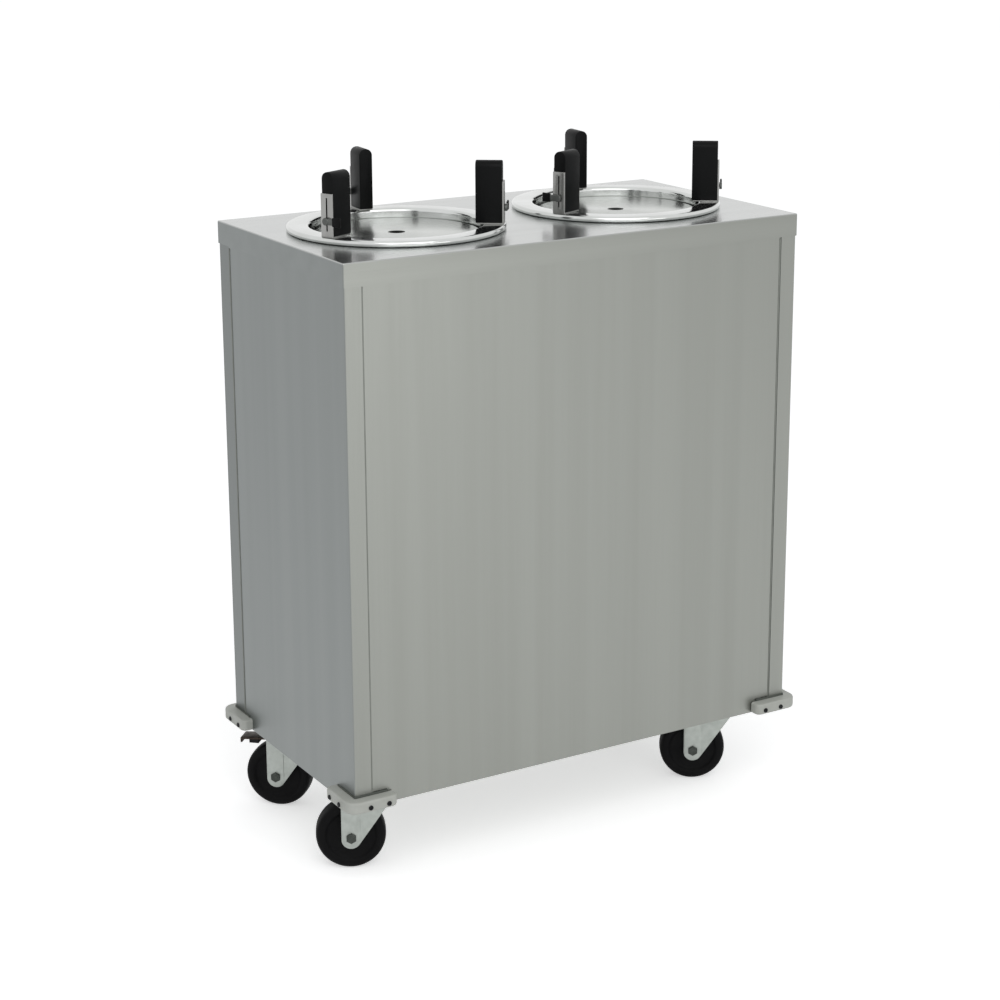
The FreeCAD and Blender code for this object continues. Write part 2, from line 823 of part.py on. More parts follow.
def make_carrier_plate():
    body = new_body()
    edge_low = f"{carrier_top} - carrier_edge"
    section = [
        ("carrier_hole_radius", carrier_top),
        (carrier_radius, carrier_top),
        (carrier_radius, edge_low),
        (f"{carrier_radius} - carrier_sheet", edge_low),
        (f"{carrier_radius} - carrier_sheet", carrier_under),
        ("carrier_hole_radius", carrier_under),
    ]
    revolve(body, outline(body, "XZ_Plane", section))
    doc.recompute()
    widest = max(edge.Curve.Radius for edge in body.Shape.Edges if is_hoop(edge, bool))

    def upper_rim(edge, ends):
        return is_hoop(edge, lambda radius: near(radius, widest)) and near(edge.CenterOfMass.z, ends.ZMax)

    round_edges(body, f"carrier_sheet * {BEND_SHARE}", upper_rim)
    return body


def make_hanger():
    body = new_body()
    hub = circles(body, "XY_Plane", [("0", "0")], strap_radius, ("0", "0", hanger_low))
    pad(body, hub, "hanger_sheet")
    eye = circles(body, "XY_Plane", [("0", "0")], hanger_hub_radius, ("0", "0", arm_top))
    pocket(body, eye, "hanger_sheet + overrun")
    strap_inner = f"{strap_radius} - hanger_sheet"
    strap = [
        (hanger_hub_radius, hanger_low),
        (arm_radius, hanger_low),
        (arm_radius, arm_top),
        (strap_radius, arm_top),
        (strap_radius, carrier_under),
        (strap_inner, carrier_under),
        (strap_inner, arm_top),
        (hanger_hub_radius, arm_top),
    ]
    repeat_round(body, pad(body, outline(body, "XZ_Plane", strap), "strap_width", symmetric=True))
    return body


def make_spring(side, angle):
    turn = math.radians(angle)
    x = f"{side} * {tube_x} + {math.cos(turn):.6f} * {spring_circle}"
    middle = {"x": x, "y": f"{math.sin(turn):.6f} * {spring_circle}"}
    coil = rod("z", middle, "spring_radius", arm_top, deck_top)
    bore = rod("z", middle, "spring_radius - spring_wire", f"{arm_top} - overrun", f"{deck_top} + overrun")
    return cut(coil, bore)


# Guide posts: local X runs outwards from the well's axis


def make_guide_bracket():
    body = new_body()
    foot_inner = f"{guide_inner} + foot_set_back"
    side = [
        (foot_inner, ring_top),
        (strip_outer, ring_top),
        (strip_outer, strip_top),
        (guide_outer, strip_top),
        (guide_outer, foot_top),
        (foot_inner, foot_top),
    ]
    pad(body, outline(body, "XZ_Plane", side), "guide_width", symmetric=True)
    tongue_x = (f"{tongue_outer} - tongue_length", tongue_outer)
    tongue = outline(body, "XZ_Plane", rectangle(tongue_x, (f"{ring_top} - tongue_drop", ring_top)))
    pad(body, tongue, "tongue_width", symmetric=True)
    pin = [("0", lever_height)]
    bore = circles(body, "YZ_Plane", pin, "lever_pin_radius + running_gap", ("0", "0", guide_outer))
    pocket(body, bore, "strip_sheet + overrun", backwards=True)
    return body


def make_guide_cover():
    body = new_body()
    shift = ("0", "0", guide_inner)
    depth = "guide_depth"
    shoulder = f"{guide_top} - guide_width / 2"
    block = rectangle(about("0", "guide_width / 2"), (foot_top, shoulder))
    pad(body, outline(body, "YZ_Plane", block, shift), depth)
    pad(body, circles(body, "YZ_Plane", [("0", shoulder)], "guide_width / 2", shift), depth)
    return body


def make_clamp_lever(sense):
    body = new_body()
    middle = [("0", lever_height)]
    hub_start = f"{strip_outer} + lever_gap"
    pad(body, circles(body, "YZ_Plane", middle, "lever_hub_radius", ("0", "0", hub_start)), "lever_hub")
    pin_length = "strip_sheet + lever_gap - running_gap"
    pin = circles(body, "YZ_Plane", middle, "lever_pin_radius", ("0", "0", f"{guide_outer} + running_gap"))
    pad(body, pin, pin_length)
    arm = [
        ("0", f"{lever_height} - lever_hub_radius"),
        (f"{sense} * lever_reach", f"{lever_height} - lever_tip"),
        (f"{sense} * lever_reach", f"{lever_height} + lever_tip"),
        ("0", f"{lever_height} + lever_hub_radius"),
    ]
    pad(body, outline(body, "YZ_Plane", arm, ("0", "0", f"{hub_start} + lever_hub - lever_arm")), "lever_arm")
    return body


# Controls in a recess of the back panel


def make_control_box():
    outer_x = about("0", "control_width / 2")
    outer_z = (control_low, control_high)
    shell = box(outer_x, (recess_y, front_y), outer_z)
    rim_x = about("0", "control_width / 2 + control_flange")
    rim_z = (f"{control_low} - control_flange", f"{control_high} + control_flange")
    rim = box(rim_x, (front_y, panel_y), rim_z)
    hollow_x = about("0", "control_width / 2 - control_sheet")
    hollow_z = (f"{control_low} + control_sheet", f"{control_high} - control_sheet")
    hollow = box(hollow_x, (face_y, f"{panel_y} + overrun"), hollow_z)
    span = (f"{recess_y} - overrun", f"{face_y} + overrun")
    dial = {"x": "-thermostat_offset", "z": control_middle}
    bushing_hole = rod("y", dial, "bushing_radius + fit_gap", *span)
    inlet = {"x": "gland_offset", "z": control_middle}
    gland_hole = rod("y", inlet, "gland_neck_radius + fit_gap", *span)
    switch_x = about("0", "switch_width / 2 + fit_gap")
    switch_hole = box(switch_x, span, about(control_middle, "switch_height / 2 + fit_gap"))
    return cut(fuse(shell, rim), fuse(hollow, bushing_hole, gland_hole, switch_hole))


def make_control_opening():
    x = about("0", "control_width / 2 + fit_gap")
    z = (f"{control_low} - fit_gap", f"{control_high} + fit_gap")
    return box(x, (f"{inner_y} - overrun", f"{front_y} + overrun"), z)


def make_thermostat():
    middle = {"x": "-thermostat_offset", "z": control_middle}
    case = rod("y", middle, "thermostat_radius", f"{recess_y} - thermostat_depth", recess_y)
    bushing = rod("y", middle, "bushing_radius", recess_y, f"{face_y} + bushing_length")
    shaft = rod("y", middle, "shaft_radius", recess_y, f"{face_y} + bushing_length + shaft_length")
    return fuse(case, bushing, shaft)


def make_knob():
    middle = {"x": "-thermostat_offset", "z": control_middle}
    low = f"{face_y} + bushing_length + knob_gap"
    high = f"{face_y} + bushing_length + shaft_length + running_gap + knob_cap"
    grip = rod("y", middle, "knob_radius", f"{high} - knob_height", high)
    hub = rod("y", middle, "bushing_radius", low, f"{high} - knob_height")
    pointer_x = about("-thermostat_offset", "pointer_width / 2")
    pointer_z = (control_middle, f"{control_middle} + knob_radius")
    pointer = box(pointer_x, (high, f"{high} + pointer_height"), pointer_z)
    bore = rod("y", middle, "shaft_radius + running_gap", f"{low} - overrun", f"{high} - knob_cap")
    return cut(fuse(grip, hub, pointer), bore)


def make_switch_housing():
    body_z = about(control_middle, "switch_height / 2")
    case = box(about("0", "switch_width / 2"), (f"{face_y} - switch_depth", face_y), body_z)
    bezel_x = about("0", "switch_width / 2 + bezel_margin")
    bezel_z = about(control_middle, "switch_height / 2 + bezel_margin")
    bezel = box(bezel_x, (face_y, f"{face_y} + bezel_sheet"), bezel_z)
    front = f"{face_y} + bezel_sheet"
    well_x = about("0", "rocker_width / 2 + rocker_side_gap")
    well_z = about(control_middle, "rocker_height / 2 + rocker_end_gap")
    well = box(well_x, (f"{front} - switch_well", f"{front} + overrun"), well_z)
    pivot = {"y": rocker_pivot, "z": control_middle}
    bore = rod("x", pivot, "rocker_pin_radius + running_gap", *about("0", "switch_width / 2"))
    return cut(fuse(case, bezel), fuse(well, bore))


def make_rocker():
    body = new_body()
    half = "rocker_height / 2"
    side = rectangle(("-rocker_back", "rocker_front"), about("0", half))
    pad(body, outline(body, "YZ_Plane", side), "rocker_width", symmetric=True)
    pin = circles(body, "YZ_Plane", [("0", "0")], "rocker_pin_radius")
    pad(body, pin, "switch_width - 2 * rocker_pin_gap", symmetric=True)
    return place(body, "0", rocker_pivot, control_middle, ROCKER_TILT, "x")


def make_cord_gland():
    middle = {"x": "gland_offset", "z": control_middle}
    flange_front = f"{face_y} + gland_flange"
    flange = rod("y", middle, "gland_flange_radius", face_y, flange_front)
    neck = rod("y", middle, "gland_neck_radius", f"{face_y} - gland_tail", f"{flange_front} + gland_nose")
    bore_span = (f"{face_y} - gland_tail - overrun", f"{flange_front} + gland_nose + overrun")
    return cut(fuse(flange, neck), rod("y", middle, "gland_bore_radius", *bore_span))


# Put the dispenser together

screw_holes = fuse(*[make_screw_hole(*screw) for screw in bumper_screws()])
bolt_holes = fuse(*[make_bolt_hole(centre) for centre in bolt_centres()])

keep(make_top_deck(), "top_deck")
for hand, side in SIDES.items():
    keep(cut(make_side_panel(side), screw_holes), f"{hand}_side_panel")
keep(cut(make_front_or_back_panel(-1), screw_holes), "front_panel")
keep(cut(make_front_or_back_panel(1), fuse(screw_holes, make_control_opening())), "back_panel")
keep(cut(make_base_pan(), fuse(screw_holes, bolt_holes)), "base_pan")
keep(group([cut(make_caster_channel(side), bolt_holes) for side in SIDES.values()]), "caster_channels")
keep(group([cut(make_bumper(*corner), screw_holes) for corner in CORNERS]), "corner_bumpers")
keep(group([make_screw(*screw) for screw in bumper_screws()]), "bumper_screws")
keep(group([cut(make_caster_plate(*corner), bolt_holes) for corner in CORNERS]), "caster_plates")
keep(group([make_bolt(centre) for centre in bolt_centres()]), "caster_bolts")

for name, (across, along) in CASTER_SIDES.items():
    spot = (across, along, CASTER_ANGLES[name])
    keep(at_caster(make_fork(name in BRAKED), *spot), f"{name}_fork")
    keep(at_caster(make_wheel(), *spot), f"{name}_wheel")
    keep(at_caster(make_axle(), *spot), f"{name}_axle")
    if name in BRAKED:
        keep(at_caster(make_brake_pedal(), *spot), f"{name}_brake_pedal")

for hand, side in SIDES.items():
    keep(at_well(make_flange_ring(), side, GUIDE_ANGLES["back"]), f"{hand}_flange_ring")
    keep(at_well(make_tube(), side, HANGER_TURN), f"{hand}_well_tube")
    keep(at_well(make_carrier_plate(), side), f"{hand}_carrier_plate")
    keep(at_well(make_hanger(), side, HANGER_TURN), f"{hand}_carrier_hanger")
    turns = [HANGER_TURN + FULL_TURN / COPIES_ROUND * step for step in range(COPIES_ROUND)]
    keep(group([make_spring(side, turn) for turn in turns]), f"{hand}_carrier_springs")
    for spot, angle in GUIDE_ANGLES.items():
        keep(at_well(make_guide_bracket(), side, angle), f"{hand}_{spot}_guide_bracket")
        keep(at_well(make_guide_cover(), side, angle), f"{hand}_{spot}_guide_cover")
        keep(at_well(make_clamp_lever(LEVER_SENSE[hand][spot]), side, angle), f"{hand}_{spot}_clamp_lever")

# Each heating element turns one of its legs towards the middle of the cabinet, clear of the channels
inward_turns = {"left": 0, "right": 180}
heaters = [at_well(make_heater(), side, inward_turns[hand]) for hand, side in SIDES.items()]
keep(group(heaters), "heating_elements")

keep(make_control_box(), "control_box")
keep(make_thermostat(), "thermostat")
keep(make_knob(), "thermostat_knob")
keep(make_switch_housing(), "switch_housing")
keep(make_rocker(), "rocker_switch")
keep(make_cord_gland(), "cord_gland")

# Build, check and write every piece

doc.recompute()
for thing in doc.Objects:
    if {"Invalid", "Error"} & set(thing.State):
        raise RuntimeError(f"{thing.Label} failed: {thing.State}")
for thing in nodes:
    if thing.Shape.isNull() or not thing.Shape.isValid():
        raise RuntimeError(f"{thing.Label} has no valid shape")

os.makedirs("parts", exist_ok=True)
for thing in nodes:
    thing.Shape.exportStep(f"parts/{thing.Label}.step")
print(len(nodes), "nodes written")
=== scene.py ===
import math

import bmesh
import bpy
from mathutils import Matrix, Vector


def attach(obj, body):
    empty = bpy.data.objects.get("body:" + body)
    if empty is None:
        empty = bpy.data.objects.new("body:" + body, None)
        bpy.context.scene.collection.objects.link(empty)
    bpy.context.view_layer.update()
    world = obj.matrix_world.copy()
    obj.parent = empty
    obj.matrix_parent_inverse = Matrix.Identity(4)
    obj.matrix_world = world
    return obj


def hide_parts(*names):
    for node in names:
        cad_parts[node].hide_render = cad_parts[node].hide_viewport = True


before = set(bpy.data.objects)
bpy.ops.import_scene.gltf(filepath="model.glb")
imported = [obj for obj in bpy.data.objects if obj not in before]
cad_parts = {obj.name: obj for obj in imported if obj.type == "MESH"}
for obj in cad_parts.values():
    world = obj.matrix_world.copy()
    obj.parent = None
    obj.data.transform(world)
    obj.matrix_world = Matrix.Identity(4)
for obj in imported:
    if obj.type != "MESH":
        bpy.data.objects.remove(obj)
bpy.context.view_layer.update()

# A mobile heated plate dispenser: places and sizes in millimetres, in the frame of its solids
MM = 0.001
WELLS = {"left": -187, "right": 187}
POSTS = {"back": 84, "front_left": 204, "front_right": 324}
LEVER_SENSES = {("right", "front_left"): -1}
CASTERS = {
    "front_left": (-302, -120, -26),
    "rear_left": (-302, 120, -43.5),
    "front_right": (302, -120, -31),
    "rear_right": (302, 120, -36),
}
BRAKED = ("rear_left", "rear_right")
DECK_TOP = 904
RING_TOP = 913
CARRIER_TOP = 899.5
BACK_FACE = 199.5
CONTROL_FACE = 154.5
CONTROL_MIDDLE = 285
REAR_SEAM = 166


# Modelling steps

# Parts of a whole length from which an edge runs along an axis, and a face looks along one
ALONG = 0.99
FACING = 0.9
# Corners nearer than this are one
WELD = 0.001


def let_go():
    """Leave edit mode and let go of everything."""
    if bpy.context.mode != "OBJECT":
        bpy.ops.object.mode_set(mode="OBJECT")
    bpy.ops.object.select_all(action="DESELECT")


def hold(piece):
    """Select one piece alone, in object mode."""
    let_go()
    piece.select_set(True)
    bpy.context.view_layer.objects.active = piece


def shape(piece):
    """Take a piece into edit mode with all of it selected."""
    hold(piece)
    bpy.ops.object.mode_set(mode="EDIT")
    bpy.ops.mesh.select_mode(type="VERT")
    bpy.ops.mesh.select_all(action="SELECT")
    return piece


def pick(piece, kind, test):
    """In edit mode, select the corners, edges or faces that a test picks."""
    bpy.ops.mesh.select_mode(type=kind)
    bpy.ops.mesh.select_all(action="DESELECT")
    mesh = bmesh.from_edit_mesh(piece.data)
    for item in {"VERT": mesh.verts, "EDGE": mesh.edges, "FACE": mesh.faces}[kind]:
        item.select_set(test(item))
    mesh.select_flush_mode()
    bmesh.update_edit_mesh(piece.data)


def middle(edge):
    """The middle of an edge, in millimetres."""
    return (edge.verts[0].co + edge.verts[1].co) / 2 / MM


def runs_along(edge, axis):
    """Whether an edge runs along one axis."""
    step = edge.verts[1].co - edge.verts[0].co
    return abs(step[axis]) > ALONG * step.length


def block(name, low, high):
    """A box between two corners, left in edit mode."""
    let_go()
    low, high = Vector(low) * MM, Vector(high) * MM
    bpy.ops.mesh.primitive_cube_add(size=1, location=(low + high) / 2)
    piece = bpy.context.object
    piece.name = name
    piece.scale = high - low
    bpy.ops.object.transform_apply()
    return shape(piece)


def turned(name, profile, sides=64, ends=True):
    """A ring drawn out along Z through radii and heights; with ends, its two mouths are filled."""
    let_go()
    radius, height = profile[0]
    bpy.ops.mesh.primitive_circle_add(vertices=sides, radius=radius * MM, location=(0, 0, height * MM))
    piece = bpy.context.object
    piece.name = name
    bpy.ops.object.transform_apply()
    shape(piece)
    for (radius, height), (wider, higher) in zip(profile, profile[1:]):
        step = (0, 0, (higher - height) * MM)
        bpy.ops.mesh.extrude_region_move(TRANSFORM_OT_translate={"value": step})
        grow = wider / radius
        bpy.ops.transform.resize(value=(grow, grow, 1), center_override=(0, 0, 0))
    if ends:
        bpy.ops.mesh.select_all(action="SELECT")
        bpy.ops.mesh.fill_holes(sides=0)
    bpy.ops.mesh.select_all(action="SELECT")
    bpy.ops.mesh.remove_doubles(threshold=WELD * MM)
    bpy.ops.mesh.normals_make_consistent(inside=False)
    return piece


def outline(name, points):
    """A flat face through points, drawn from a disc whose corners are moved to them."""
    let_go()
    bpy.ops.mesh.primitive_circle_add(vertices=len(points), radius=MM, fill_type="NGON")
    piece = shape(bpy.context.object)
    piece.name = name
    for index, point in enumerate(points):
        pick(piece, "VERT", lambda corner: corner.index == index)
        mesh = bmesh.from_edit_mesh(piece.data)
        mesh.verts.ensure_lookup_table()
        bpy.ops.transform.translate(value=Vector(point) * MM - mesh.verts[index].co)
    bpy.ops.mesh.select_all(action="SELECT")
    return piece


def change(piece, kind, **settings):
    """Add a modifier to a piece and apply it."""
    hold(piece)
    modifier = piece.modifiers.new(kind.lower(), kind)
    for name, value in settings.items():
        setattr(modifier, name, value)
    bpy.ops.object.modifier_apply(modifier=modifier.name)


def soften(piece, width=0, steps=3, angle=40):
    """Round the sharp edges of a piece and shade it smoothly."""
    if width:
        limit = math.radians(angle)
        change(piece, "BEVEL", width=width * MM, segments=steps, limit_method="ANGLE", angle_limit=limit)
    hold(piece)
    bpy.ops.object.shade_smooth_by_angle(angle=math.radians(angle))
    return piece


def settle(piece, at=(0, 0, 0), turn=(0, 0, 0)):
    """Turn a piece by degrees about X, Y and Z, put it in its place, and bake that into its mesh."""
    hold(piece)
    piece.rotation_euler = [math.radians(part) for part in turn]
    piece.location = Vector(at) * MM
    bpy.ops.object.transform_apply()
    return piece


def copy_of(piece, name):
    """A copy of a piece with a mesh of its own."""
    copy = piece.copy()
    copy.data = piece.data.copy()
    copy.name = name
    bpy.context.collection.objects.link(copy)
    return copy


def join(first, *others):
    """Join pieces into the first."""
    hold(first)
    for other in others:
        other.select_set(True)
    bpy.ops.object.join()
    return first


def carve(piece, tool):
    """Cut one piece out of another and throw the tool away."""
    change(piece, "BOOLEAN", operation="DIFFERENCE", object=tool, solver="EXACT")
    bpy.data.objects.remove(tool)
    return piece


def fit(piece, body, finish, slot, *nodes):
    """Give a piece its finish and its body, and the solids that it stands for."""
    piece.data.materials.clear()
    piece.data.materials.append(finish)
    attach(piece, body)
    if nodes:
        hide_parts(*nodes)
    return piece


# Finishes

# Noise keeps mostly between these
NOISE_LOW, NOISE_HIGH = 0.3, 0.7
# Sockets of a node that mixes colours
MIX_FACTOR, MIX_FIRST, MIX_SECOND, MIX_RESULT = 0, 6, 7, 2
# Brush lines of 0.1 mm and turning marks of 0.2 mm are drawn wider so that they show
BRUSH_LINE = 2.5
BRUSH_STREAK = 30
TURNING_MARK = 2
POLISH_PATCH = 45
SHEET_RELIEF = 0.003
BLOOM_SPOT = 9
BLOOM_RELIEF = 0.01
SCUFF_SPOT = 30
# Grains, as how far noise is stretched along X, Y and Z
UPRIGHT = (1, 1, 60)
LENGTHWAYS = (60, 1, 1)
SHORT_UPRIGHT = (1, 1, 40)


def colour(code):
    """A linear colour from an sRGB hex value."""
    parts = [int(code[start:start + 2], 16) / 255 for start in (1, 3, 5)]
    return [part / 12.92 if part <= 0.04045 else ((part + 0.055) / 1.055) ** 2.4 for part in parts] + [1]


def add(tree, kind, inputs=(), **settings):
    """Add a node with its settings, and its inputs as values or links."""
    node = tree.nodes.new(kind)
    for name, value in settings.items():
        setattr(node, name, value)
    for socket, value in dict(inputs).items():
        if isinstance(value, bpy.types.NodeSocket):
            tree.links.new(value, node.inputs[socket])
        else:
            node.inputs[socket].default_value = value
    return node


def new_finish(name):
    """An empty material, its node tree and its coordinates on the object."""
    finish = bpy.data.materials.new(name)
    finish.use_nodes = True
    tree = finish.node_tree
    tree.nodes.clear()
    return finish, tree, add(tree, "ShaderNodeTexCoord").outputs["Object"]


def per_mm(size):
    """A texture scale that repeats over a size in millimetres."""
    return 1 / (size * MM)


def surface(tree, inputs, height=None, depth=0.0):
    """Add the shader of a finish, with a bump of a depth in millimetres, and its output."""
    if height is not None:
        bump = add(tree, "ShaderNodeBump", {"Height": height, "Strength": 1, "Distance": depth * MM})
        inputs = {**inputs, "Normal": bump.outputs["Normal"]}
    shader = add(tree, "ShaderNodeBsdfPrincipled", inputs)
    add(tree, "ShaderNodeOutputMaterial", {"Surface": shader.outputs["BSDF"]})


def between(tree, factor, low, high):
    """Spread a factor from a low to a high value."""
    noisy = {"Value": factor, "From Min": NOISE_LOW, "From Max": NOISE_HIGH}
    spread = {**noisy, "To Min": low, "To Max": high}
    return add(tree, "ShaderNodeMapRange", spread).outputs["Result"]


def blend(tree, factor, first, second):
    """Blend two colours by a factor, each of them a hex value or the colour of another node."""
    inputs = {MIX_FACTOR: factor}
    for socket, tone in ((MIX_FIRST, first), (MIX_SECOND, second)):
        inputs[socket] = colour(tone) if isinstance(tone, str) else tone
    mixed = add(tree, "ShaderNodeMix", inputs, data_type="RGBA", clamp_factor=True)
    return mixed.outputs[MIX_RESULT]


def noise(tree, place, size, detail=3, stretch=(1, 1, 1)):
    """Noise with spots of a size in millimetres, stretched along the axes."""
    scale = [per_mm(size) / part for part in stretch]
    mapped = add(tree, "ShaderNodeMapping", {"Vector": place, "Scale": scale})
    inputs = {"Vector": mapped.outputs["Vector"], "Scale": 1, "Detail": detail}
    return add(tree, "ShaderNodeTexNoise", inputs).outputs["Fac"]


def brushed_steel(name, light, dark, rough, stretch, painted_facing_tones=(), rear=None):
    """Stainless sheet brushed along one axis.

    Faces that look along an axis can have tones of their own, which paint shade and highlight by how light
    falls on each side, and sides one more, a painted shade, behind the rear seam.
    """
    finish, tree, place = new_finish(name)
    lines = noise(tree, place, BRUSH_LINE, 4, stretch)
    streaks = between(tree, noise(tree, place, BRUSH_STREAK, 2, stretch), 0, 1)
    base = blend(tree, streaks, light, dark)
    shine = between(tree, lines, rough - 0.03, rough + 0.04)
    normal = add(tree, "ShaderNodeNewGeometry").outputs["Normal"]
    parts = add(tree, "ShaderNodeSeparateXYZ", {"Vector": normal}).outputs
    # Painted shade and highlight: faces that look along an axis take a darker or brighter tone of their own
    for axis, (light, dark, rough) in dict(painted_facing_tones).items():
        facing = add(tree, "ShaderNodeMath", {0: parts[axis]}, operation="ABSOLUTE").outputs["Value"]
        base = blend(tree, facing, base, blend(tree, streaks, light, dark))
        span = {"Value": facing, "To Min": shine, "To Max": rough}
        shine = add(tree, "ShaderNodeMapRange", span).outputs["Result"]
    # Painted shade: sides behind the rear seam take a darker tone
    if rear:
        along = add(tree, "ShaderNodeSeparateXYZ", {"Vector": place}).outputs["Y"]
        behind = add(tree, "ShaderNodeMath", {0: along, 1: REAR_SEAM * MM}, operation="GREATER_THAN")
        facing = add(tree, "ShaderNodeMath", {0: parts["X"]}, operation="ABSOLUTE")
        strip = {0: behind.outputs["Value"], 1: facing.outputs["Value"]}
        strip = add(tree, "ShaderNodeMath", strip, operation="MULTIPLY").outputs["Value"]
        base = blend(tree, strip, base, rear)
    surface(tree, {"Base Color": base, "Metallic": 1, "Roughness": shine}, lines, SHEET_RELIEF)
    return finish


def spun_steel(name, light, dark, rough, centre):
    """Stainless steel polished on a lathe, with fine rings about a centre across the cabinet."""
    finish, tree, place = new_finish(name)
    mapped = add(tree, "ShaderNodeMapping", {"Vector": place, "Location": (-centre * MM, 0, 0)})
    apart = add(tree, "ShaderNodeSeparateXYZ", {"Vector": mapped.outputs["Vector"]})
    flat = add(tree, "ShaderNodeCombineXYZ", {"X": apart.outputs["X"], "Y": apart.outputs["Y"]})
    reach = add(tree, "ShaderNodeVectorMath", {0: flat.outputs["Vector"]}, operation="LENGTH")
    row = add(tree, "ShaderNodeCombineXYZ", {"X": reach.outputs["Value"]})
    rings = noise(tree, row.outputs["Vector"], TURNING_MARK, 3)
    patches = noise(tree, place, POLISH_PATCH, 2)
    base = blend(tree, between(tree, patches, 0, 1), light, dark)
    shine = between(tree, rings, rough - 0.03, rough + 0.05)
    # The rings scatter light across themselves, so that reflections are drawn out towards the middle
    around = add(tree, "ShaderNodeTangent", direction_type="RADIAL", axis="Z")
    spun = {"Anisotropic": 0.7, "Anisotropic Rotation": 0.25, "Tangent": around.outputs["Tangent"]}
    surface(tree, {"Base Color": base, "Metallic": 1, "Roughness": shine, **spun}, rings, SHEET_RELIEF)
    return finish


def plated_steel(name, light, dark, rough):
    """Zinc plate: a pale, faintly green metal with a cloudy bloom."""
    finish, tree, place = new_finish(name)
    bloom = noise(tree, place, BLOOM_SPOT, 4)
    base = blend(tree, between(tree, bloom, 0, 1), light, dark)
    shine = between(tree, bloom, rough - 0.06, rough + 0.08)
    surface(tree, {"Base Color": base, "Metallic": 0.75, "Roughness": shine}, bloom, BLOOM_RELIEF)
    return finish


def moulded(name, light, dark, rough, grain, depth, gloss=0.5):
    """Moulded plastic or rubber: an even colour with a fine grain in its skin."""
    finish, tree, place = new_finish(name)
    skin = noise(tree, place, grain, 3)
    scuffs = noise(tree, place, SCUFF_SPOT, 3)
    base = blend(tree, between(tree, scuffs, 0, 1), light, dark)
    shine = between(tree, scuffs, rough - 0.06, rough + 0.06)
    surface(tree, {"Base Color": base, "Roughness": shine, "Specular IOR Level": gloss}, skin, depth)
    return finish


# Brushed stainless panels: a flat grey that takes a soft, drawn-out reflection. The sides are painted cooler
# and darker than the front as shade, most of all behind their rear seam, and the top of the deck is painted
# bright as a highlight and is smoother, so that posts and rings show in it
FRONT = ("#92948F", "#8E908B", 0.36)
SIDE_SHADE = {"X": ("#818584", "#7D8180", 0.36)}
TOP_HIGHLIGHT = {"Z": ("#BBBDBC", "#B5B7B6", 0.22)}
REAR_SHADE = "#737776"
panel_steel = brushed_steel("brushed stainless, upright grain", *FRONT, UPRIGHT, SIDE_SHADE)
side_steel = brushed_steel("brushed stainless, sides", *FRONT, UPRIGHT, SIDE_SHADE, REAR_SHADE)
deck_steel = brushed_steel("brushed stainless, lengthways grain", *FRONT, LENGTHWAYS, {**SIDE_SHADE, **TOP_HIGHLIGHT})
# Rings and carriers are spun and polished: bright, with clear reflections drawn out into wedges
ring_steel = {}
carrier_steel = {}
for hand, x in WELLS.items():
    ring_steel[hand] = spun_steel(f"polished spun steel, {hand}", "#D2D4D3", "#C8CAC8", 0.14, x)
    carrier_steel[hand] = spun_steel(f"satin spun steel, {hand}", "#BCBFBC", "#B2B5B1", 0.2, x)
post_steel = brushed_steel("brushed stainless strip", "#A2A2A0", "#868684", 0.3, SHORT_UPRIGHT)
# Zinc plate is pale and faintly green where it is bright, and grey where it is dull
zinc = plated_steel("zinc-plated steel, bright", "#AFB4AF", "#A5AAA5", 0.4)
dark_zinc = plated_steel("zinc-plated steel, dull", "#4A4E4A", "#3E423E", 0.45)
clamp_steel = plated_steel("dull steel of the clamps", "#626462", "#565856", 0.45)
black_oxide = plated_steel("black-oxide steel", "#1E2022", "#18191A", 0.42)
pedal_steel = plated_steel("bronzed steel", "#40372F", "#352D28", 0.45)
heater_sheath = plated_steel("heat-darkened steel", "#5C5650", "#4A4440", 0.5)
# Bumpers are soft vinyl: pale grey, with a matt skin that shows scuffs
bumper_vinyl = moulded("moulded grey vinyl", "#B2B4AE", "#A9ABA4", 0.5, 0.8, 0.02)
# Painted shade: strips darker than what they join stand for the shadow above the bumpers, darkest there, and
# in the front joints; the grey strip also runs along the rear seams
bumper_shade_strip = moulded("dark grey shade strip", "#585C56", "#4F534E", 0.6, 0.8, 0.01, 0.3)
joint_strip = moulded("grey joint strip", "#82857F", "#7A7D77", 0.6, 0.8, 0.01, 0.3)
# Posts, wheels and pads are near black and take little shine
post_nylon = moulded("moulded black nylon", "#0A0B0C", "#070808", 0.42, 0.7, 0.02, 0.1)
wheel_rubber = moulded("moulded black rubber", "#0A0A0B", "#070708", 0.55, 0.9, 0.04, 0.1)
pad_rubber = moulded("black pad rubber", "#0C0C0D", "#09090A", 0.6, 0.9, 0.04, 0.2)
control_plastic = moulded("moulded black phenolic", "#161618", "#111113", 0.35, 0.7, 0.01, 0.4)
lens_plastic = moulded("moulded red acrylic", "#A81E1A", "#961813", 0.22, 0.7, 0.005)

NODE_FINISHES = {
    "top_deck": deck_steel,
    "left_side_panel": side_steel,
    "right_side_panel": side_steel,
    "front_panel": panel_steel,
    "back_panel": panel_steel,
    "base_pan": panel_steel,
    "control_box": panel_steel,
    "left_well_tube": panel_steel,
    "right_well_tube": panel_steel,
    "caster_channels": dark_zinc,
    "left_carrier_hanger": dark_zinc,
    "right_carrier_hanger": dark_zinc,
    "left_carrier_springs": dark_zinc,
    "right_carrier_springs": dark_zinc,
    "thermostat": dark_zinc,
    "corner_bumpers": bumper_vinyl,
    "heating_elements": heater_sheath,
}
for node, finish in NODE_FINISHES.items():
    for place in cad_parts[node].material_slots:
        place.material = finish


# Rings and plate carriers, turned about the axis of each well

WELL_SIDES = 144


